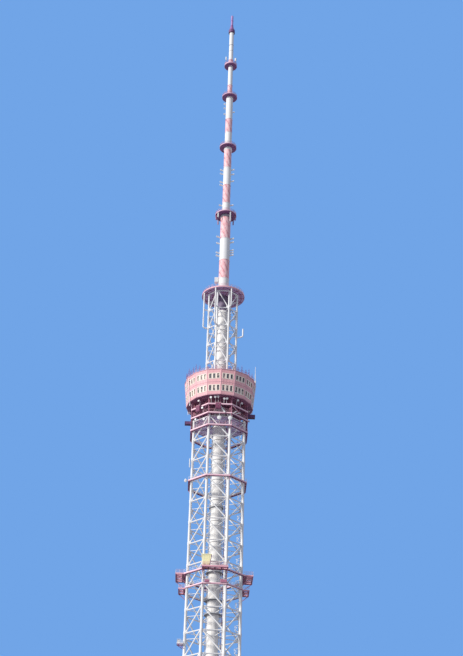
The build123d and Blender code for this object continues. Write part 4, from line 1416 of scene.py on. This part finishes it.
# bands beside the seams: foot, height, radius of the mast, how far they stand out, sides, finish
mastBands = [
    # the first band, grey under the lowest platform, is painted shadow of the platform
    (27.735, 0.122, 0.195, 0.022, 32, greySteel), (31.085, 0.135, 0.150, 0.016, 32, whitePaint),
    (33.800, 0.075, 0.140, 0.010, 32, whitePaint), (36.765, 0.035, 0.091, 0.006, 24, greySteel),
    (36.45, 0.012, 0.091, 0.004, 24, greySteel), (24.176, 0.055, 0.1975, 0.035, 32, redPaint),
    (24.40, 0.02, 0.1975, 0.006, 32, whitePaint), (24.66, 0.02, 0.1975, 0.006, 32, whitePaint),
]
seamBand = {"height": 0.020, "out": 0.007, "sides": 32}


def ringBand(z, height, radius, out, sides, material):
    # a band with sloped edges round the mast
    profile = [(0, radius), (0.12, radius + out), (0.88, radius + out), (1, radius)]
    return turnAlong((0, 0, z), (0, 0, z + height), profile, sides, material)


def makeMastBands(s):
    parts = []
    platformLevels = [ring[0] for ring in mastRings]
    for i, z in enumerate(mastTops[1:-1]):
        if z not in platformLevels:
            parts.append(ringBand(z - s["height"], s["height"], max(mastRadii[i:i + 2]), s["out"],
                                  s["sides"], (mastWhitePaint, mastRedPaint)[i % 2]))
    parts += [ringBand(*band) for band in mastBands]
    return finishPiece(parts, "mastBands")


platformRims = {"rim": 0.008, "rimSteps": 48, "gussets": 12, "gusset": 0.006, "drop": 0.075}
platformRail = {"rails": (0.045, 0.09), "posts": (0.0,), "thickness": 0.0055, "corners": 16, "first": 0,
                "inset": 0.008}


def makeMastRings(s):
    # a rim, gussets underneath and a light rail on each round platform
    parts = []
    for low, radius, thickness, mast in mastRings:
        parts.append(torusAt(low + s["rim"] * 0.6, radius - 0.003, s["rim"], s["rimSteps"], ringPaint))
        for i in range(s["gussets"]):
            parts.append(rodAt(360 * (i + 0.5) / s["gussets"], (mast - 0.004, low - s["drop"]),
                               (radius - 0.02, low - 0.004), s["gusset"], violetPaint))
        parts += railRing(platformRail, low + thickness, radius - platformRail["inset"], ringPaint)
    return finishPiece(parts, "mastPlatformRims")


makeMastBands(seamBand)
makeMastRings(platformRims)

# dipoles: height, turn from the front, radius of the mast there, reach beyond it
leftSide, rightSide, behind = -88, 86, 178
dipoles = [(z, leftSide, 0.195, 0.125) for z in (26.85, 26.55, 26.11, 25.97)]
dipoles += [(z, rightSide, 0.195, 0.135) for z in (26.78, 26.61, 26.24, 26.13, 26.02)]
dipoles += [(z, leftSide, 0.150, 0.120) for z in (28.35, 29.34, 29.49, 29.90, 30.08)]
dipoles += [(z, rightSide, 0.150, 0.120) for z in (28.37, 29.55, 29.89, 30.12)]
dipoles += [(z, leftSide, 0.140, 0.070) for z in (32.98, 33.29, 33.51)] + [(33.10, rightSide, 0.140, 0.070)]
dipoles += [(z, behind, radius, 0.09) for z, radius in ((26.2, 0.195), (26.6, 0.195), (29.4, 0.15),
                                                        (30.0, 0.15), (33.2, 0.14))]
dipole = {
    "rise": 0.24, "arm": ((0, 0.28), (0.08, 0.28), (0.10, 0.20), (0.55, 0.19), (1, 0.27)), "armSides": 8,
    "half": 0.042, "bar": 0.014, "lift": 0.014,                     # the bar across the arm's end
    "backShare": 0.55, "backRise": 0.13, "backHalf": 1.15, "backBar": 0.8,       # the reflector behind it
}


def makeDipoles(s):
    # an arm with a clamp on the mast, a bar across its end and a small reflector behind it
    parts = []
    arm = turnAlong((0, 0.012, 0), (0, -1, s["rise"]), s["arm"], s["armSides"], whitePaint)
    lift = up(s["lift"])
    for z, turn, radius, reach in dipoles:
        foot = aroundAxis(radius, turn, z)
        out = aroundAxis(1.0, turn, 0)
        across = Vector((cos(radians(turn)), sin(radians(turn)), 0)) * s["half"]
        parts.append(copyOf(arm, Matrix.Translation(foot) @ turnBy(turn)
                            @ Matrix.Diagonal((reach, reach, reach, 1))))
        tip = foot + out * reach + up(s["rise"] * reach)
        parts.append(rodBetween(tip - across, tip + across + lift, s["bar"], whitePaint))
        back = foot + out * reach * s["backShare"] + up(s["backRise"] * reach)
        parts.append(rodBetween(back - across * s["backHalf"], back + across * s["backHalf"] + lift,
                                s["bar"] * s["backBar"], whitePaint))
        parts.append(rodBetween(tip, tip + out * 0.012 + lift * 1.6, s["bar"], whitePaint))
    bpy.data.objects.remove(arm)
    return finishPiece(parts, "mastDipoles")


makeDipoles(dipole)

# panels hung under the lowest platform: turn from the front, height
hungPanels = [(-80, 0.230), (-52, 0.210), (27, 0.450), (78, 0.230), (128, 0.230), (180, 0.230), (-130, 0.230)]
panel = {"top": 27.860, "at": 0.410 - 0.012 - 0.015, "deep": 0.015, "half": 0.0225, "bright": 60,
         "pole": 0.006, "poleAt": 0.025, "clamps": (0.25, 0.75)}


def makePanels(s):
    # covered aerial panels with a rounded front, a backing channel, a pole and two clamps
    parts = []
    at, high = s["at"], s["top"]
    for turn, height in hungPanels:
        low = high - height
        finish = whitePaint if abs(turn) < s["bright"] else maroonPaint
        made = [bevelledBox((at - s["deep"], -s["half"], low), (at + s["deep"], s["half"], high - 0.002),
                            finish, 0.006),
                bevelledBox((at - 0.021, -0.012, low + 0.01), (at - 0.014, 0.012, high - 0.004),
                            greySteel, 0.002),
                rodBetween((at - s["poleAt"], 0, low - 0.03), (at - s["poleAt"], 0, high - 0.002),
                           s["pole"], greySteel)]
        for share in s["clamps"]:
            z = low + height * share
            made.append(bevelledBox((at - 0.034, -0.014, z - 0.006), (at - 0.014, 0.014, z + 0.006),
                                    greySteel, 0.002))
        parts.append(turnedPart(made, turn - 90))
    return finishPiece(parts, "mastPanelCovers", stands=["mast_panels"])


discAerial = {"turns": (-90, 180), "at": 0.273, "size": 0.145, "foot": 24.175, "stem": 0.600,
              "head": 0.810, "stemRod": 0.013, "ribs": (0.2, 0.5, 0.8), "ribOut": 0.004,
              "ribHalf": 0.006, "plateHalf": 0.03, "plate": 0.012}


def makeDiscAerials(s):
    # ribbed boxes on round stems beside the foot of the mast
    parts = []
    at, foot, half, plate = s["at"], s["foot"], s["size"] / 2, s["plateHalf"]
    low, high = foot + s["stem"], foot + s["head"]
    wide = half + s["ribOut"]
    for turn in s["turns"]:
        made = [rodBetween((at, 0, foot), (at, 0, low), s["stemRod"], greySteel),
                bevelledBox((at - half, -half, low), (at + half, half, high), whitePaint, 0.008)]
        for share in s["ribs"]:
            z = low + (high - low) * share
            made.append(bevelledBox((at - wide, -wide, z - s["ribHalf"]),
                                    (at + wide, wide, z + s["ribHalf"]), whitePaint, 0.003))
        made.append(bevelledBox((at - plate, -plate, foot), (at + plate, plate, foot + s["plate"]),
                                greySteel, 0.003))
        parts.append(turnedPart(made, turn - 90))
    return finishPiece(parts, "discAerialBoxes", stands=["disc_aerials"])


makePanels(panel)
makeDiscAerials(discAerial)

topFittings = {
    "aerials": ((-80, 36.03, 0.026), (76, 35.96, 0.038), (180, 36.0, 0.03)),    # turn, middle, radius
    "at": 0.205, "foot": 35.665, "half": 0.085, "stem": 0.008,
    "lampAt": 0.128, "lampFoot": 37.655, "lampHead": 37.76, "lampRod": 0.0045,
    "tipBands": ((37.93, 0.03, 0.050, 0.008), (38.20, 0.02, 0.050, 0.005)),
}


def makeTopFittings(s):
    # small aerials on the highest platform, lamps below the cap, and bands round the tip
    parts = []
    for turn, z, radius in s["aerials"]:
        x, y, _ = foot = aroundAxis(s["at"], turn, s["foot"])
        parts.append(rodBetween(foot, (x, y, z - 0.06), s["stem"], greySteel))
        parts.append(turnAlong((x, y, z - s["half"]), (x, y, z + s["half"]),
                               [(0, radius * 0.5), (0.06, radius), (0.9, radius), (1, radius * 0.4)],
                               12, whitePaint))
    for turn in (45, 135, 225, 315):
        parts.append(rodAt(turn, (s["lampAt"], s["lampFoot"]), (s["lampAt"], s["lampHead"]),
                           s["lampRod"], maroonPaint))
    parts += [ringBand(*band, 16, tipPaint) for band in s["tipBands"]]
    return finishPiece(parts, "mastTopFittings")


makeTopFittings(topFittings)
print("mast is dressed")

# cable trays beside the central pipe: x, y, width, finish
feeder = {
    "low": 8.30, "high": 19.40, "pitch": 0.25, "depth": 0.011, "firstBracket": 0.1, "rod": 0.006,
    "trays": ((0.232, -0.035, 0.030, whitePaint), (0.286, 0.010, 0.020, maroonPaint),
              (-0.225, 0.075, 0.024, whitePaint)),
    "brackets": ((0.17, 0.30, -0.015), (-0.17, -0.24, 0.075)),      # from x to x, at y
}


def makeFeeders(s):
    parts = []
    low, high, deep = s["low"], s["high"], s["depth"]
    for x, y, width, material in s["trays"]:
        parts.append(bevelledBox((x - width / 2, y - deep, low), (x + width / 2, y + deep, high),
                                 material, 0.002))
    z = low + s["firstBracket"]
    bracket = joinParts([rodBetween((a, y, z), (b, y, z), s["rod"], greySteel)
                         for a, b, y in s["brackets"]])
    parts.append(stackUp(bracket, int((high - low) / s["pitch"]), s["pitch"]))
    return finishPiece(parts, "pipeFeeders")


legBracket = {
    "legs": ((67.5, 1.0), (112.5, 0.8)), "radius": 0.0085, "post": 0.16, "postShare": 0.8,
    # a loop beside a leg: towards the axis, across, above the foot of the bay
    "loop": ((0.03, 0.00, 0.10), (0.17, 0.04, 0.16), (0.08, 0.10, 0.22), (0.19, 0.02, 0.30),
             (0.04, 0.0, 0.33)),
}


def makeLegBrackets(s):
    # cable loops and steps beside the right front and the back right leg, once in each bay
    parts = []
    for turn, reach in s["legs"]:
        leg = aroundAxis(trunk["radius"], turn, 0)
        inward = -leg.normalized()
        across = Vector((-inward.y, inward.x, 0))
        spots = [leg + inward * a * reach + across * b + up(trunk["foot"] + z) for a, b, z in s["loop"]]
        made = [rodBetween(a, b, s["radius"], whitePaint) for a, b in zip(spots, spots[1:])]
        made.append(rodBetween(spots[1], spots[1] + up(s["post"]), s["radius"] * s["postShare"],
                               whitePaint))
        parts.append(stackUp(joinParts(made), trunk["bays"], trunk["bay"]))
    return finishPiece(parts, "legBrackets")


fittings = {
    # a small dome on the corner of the upper ring deck, and its arm
    "dome": ((-1.085, -0.450, 16.420), (-1.085, -0.450, 16.545)),
    "domeProfile": ((0, 0.020), (0.15, 0.034), (0.4, 0.048), (0.6, 0.048), (0.85, 0.030), (1, 0.010)),
    "domeArm": ((-1.00, -0.415, 16.50), (-1.085, -0.450, 16.50), 0.010),
    # an aerial on the left leg, on two arms
    "aerial": ((-0.975, -0.420, 16.98), (-0.975, -0.420, 17.32)),
    "aerialProfile": ((0, 0.010), (0.1, 0.016), (0.9, 0.016), (1, 0.008)),
    "aerialArms": (17.06, 17.22), "armStart": (-0.90, -0.37), "armEnd": (-0.975, -0.42), "armRod": 0.006,
    # boxes with a lid on the lower decks
    "boxes": (((0.160, -1.085, 13.240), (0.365, -1.020, 13.315), redPaint),
              ((-0.315, -0.985, 12.776), (-0.160, -0.920, 12.850), maroonPaint),
              ((0.185, -0.985, 12.776), (0.400, -0.920, 12.870), maroonPaint),
              ((-0.30, 0.925, 12.776), (-0.10, 0.985, 12.850), maroonPaint)),
    "lidLap": 0.006,
}


def makeTrunkFittings(s):
    armStart, armEnd, armRadius = s["domeArm"]
    parts = [turnAlong(*s["dome"], s["domeProfile"], 16, whitePaint),
             rodBetween(armStart, armEnd, armRadius, whitePaint),
             turnAlong(*s["aerial"], s["aerialProfile"], 10, whitePaint)]
    parts += [rodBetween((*s["armStart"], z), (*s["armEnd"], z), s["armRod"], whitePaint)
              for z in s["aerialArms"]]
    lap = s["lidLap"]
    for low, high, finish in s["boxes"]:
        parts.append(bevelledBox(low, high, finish, 0.005))
        parts.append(bevelledBox((low[0] - lap, low[1] - lap, high[2] - 0.004),
                                 (high[0] + lap, high[1] + lap, high[2] + 0.006), redPaint, 0.003))
    return finishPiece(parts, "trunkSmallFittings")


makeFeeders(feeder)
makeLegBrackets(legBracket)
makeTrunkFittings(fittings)

# feet of the trunk, the raking legs and the pipe: radius of a flange and of its bolt ring, thickness,
# number of bolts and their radius
trunkFlange = {"radius": 0.078, "ring": 0.066, "plate": 0.020, "bolts": 8, "bolt": 0.007}
legFlange = {"radius": 0.115, "ring": 0.095, "plate": 0.022, "bolts": 8, "bolt": 0.010}
pipeFlange = {"radius": 0.265, "ring": 0.240, "plate": 0.022, "bolts": 16, "bolt": 0.010}
footing = {"ground": 0.0605, "legRadii": (4.5, 3.8), "legHalf": 0.366, "boltHead": 0.012,
           "gussetIn": (0.04, 0.11), "gussetOut": (0.072, 0.018), "gusset": 0.007,
           "ringLevels": (8.155, 8.245), "ringOut": 0.085, "ringRod": 0.012}


def boltedFlange(centre, s):
    # a round base plate with a ring of bolts on it
    centre = Vector(centre)
    radius = s["radius"]
    parts = [turnAlong(centre, centre + up(s["plate"]), [(0, radius), (0.85, radius), (1, radius * 0.97)],
                       24, whitePaint)]
    for i in range(s["bolts"]):
        spot = centre + aroundAxis(s["ring"], 360 * i / s["bolts"], s["plate"])
        parts.append(rodBetween(spot, spot + up(footing["boltHead"]), s["bolt"], greySteel))
    return parts


def makeFootings(s):
    # flanges under the eight legs, the chords of the raking legs and the pipe, with gussets and a ring
    parts = []
    (inner, high), (outer, low) = s["gussetIn"], s["gussetOut"]
    for i in range(corners):
        corner = aroundAxis(trunk["radius"], cornerStep * i - cornerTurn, trunk["foot"])
        parts += boltedFlange(corner, trunkFlange)
        for swing in (0, 90, 180, 270):
            out = aroundAxis(1, swing + cornerTurn + cornerStep * i, 0)
            parts.append(rodBetween(corner + out * inner + up(high), corner + out * outer + up(low),
                                    s["gusset"], whitePaint))
    for z in s["ringLevels"]:
        parts += polygonRods(trunk["radius"] + s["ringOut"], corners, cornerTurn, z, s["ringRod"],
                             whitePaint)
    for turn in range(0, 360, 90):
        for radius in s["legRadii"]:
            for across in (-s["legHalf"], s["legHalf"]):
                parts += boltedFlange(turnBy(turn) @ Vector((radius, across, s["ground"])), legFlange)
    parts += boltedFlange((0, 0, s["ground"]), pipeFlange)
    return finishPiece(parts, "boltedFeet")


door = {
    "front": -0.2,
    # half width, from and to in depth beyond the pipe's front, from and to in height, finish
    "boxes": ((0.055, -0.022, 0.03, 0.083, 0.320, whitePaint),
              (0.042, -0.028, -0.018, 0.088, 0.306, greySteel),
              (0.075, -0.090, 0.02, 0.322, 0.334, redPaint)),
    "handle": (0.030, -0.036, 0.17, 0.22), "handleRod": 0.003,
    "lamp": (-0.04, 0.350, 0.375), "lampProfile": ((0, 0.012), (0.6, 0.012), (1, 0.006)),
    "stay": (0.065, (0.01, 0.27), (-0.08, 0.322)), "stayRod": 0.004,
}


def makePipeDoor(s):
    # frame, door, canopy with two stays, handle and a lamp at the foot of the central pipe
    front = s["front"]
    parts = [bevelledBox((-half, front + near, low), (half, front + far, high), finish, 0.004)
             for half, near, far, low, high, finish in s["boxes"]]
    x, y, low, high = s["handle"]
    parts.append(rodBetween((x, front + y, low), (x, front + y, high), s["handleRod"], whitePaint))
    y, low, high = s["lamp"]
    parts.append(turnAlong((0, front + y, low), (0, front + y, high), s["lampProfile"], 10, creamPaint))
    x, (y0, z0), (y1, z1) = s["stay"]
    for side in (-1, 1):
        parts.append(rodBetween((side * x, front + y0, z0), (side * x, front + y1, z1), s["stayRod"],
                                greySteel))
    return finishPiece(parts, "pipeDoor")


makeFootings(footing)
makePipeDoor(door)
print("feet and fittings are made")

bpy.data.objects.remove(rodMaster)
print("all pieces are made")
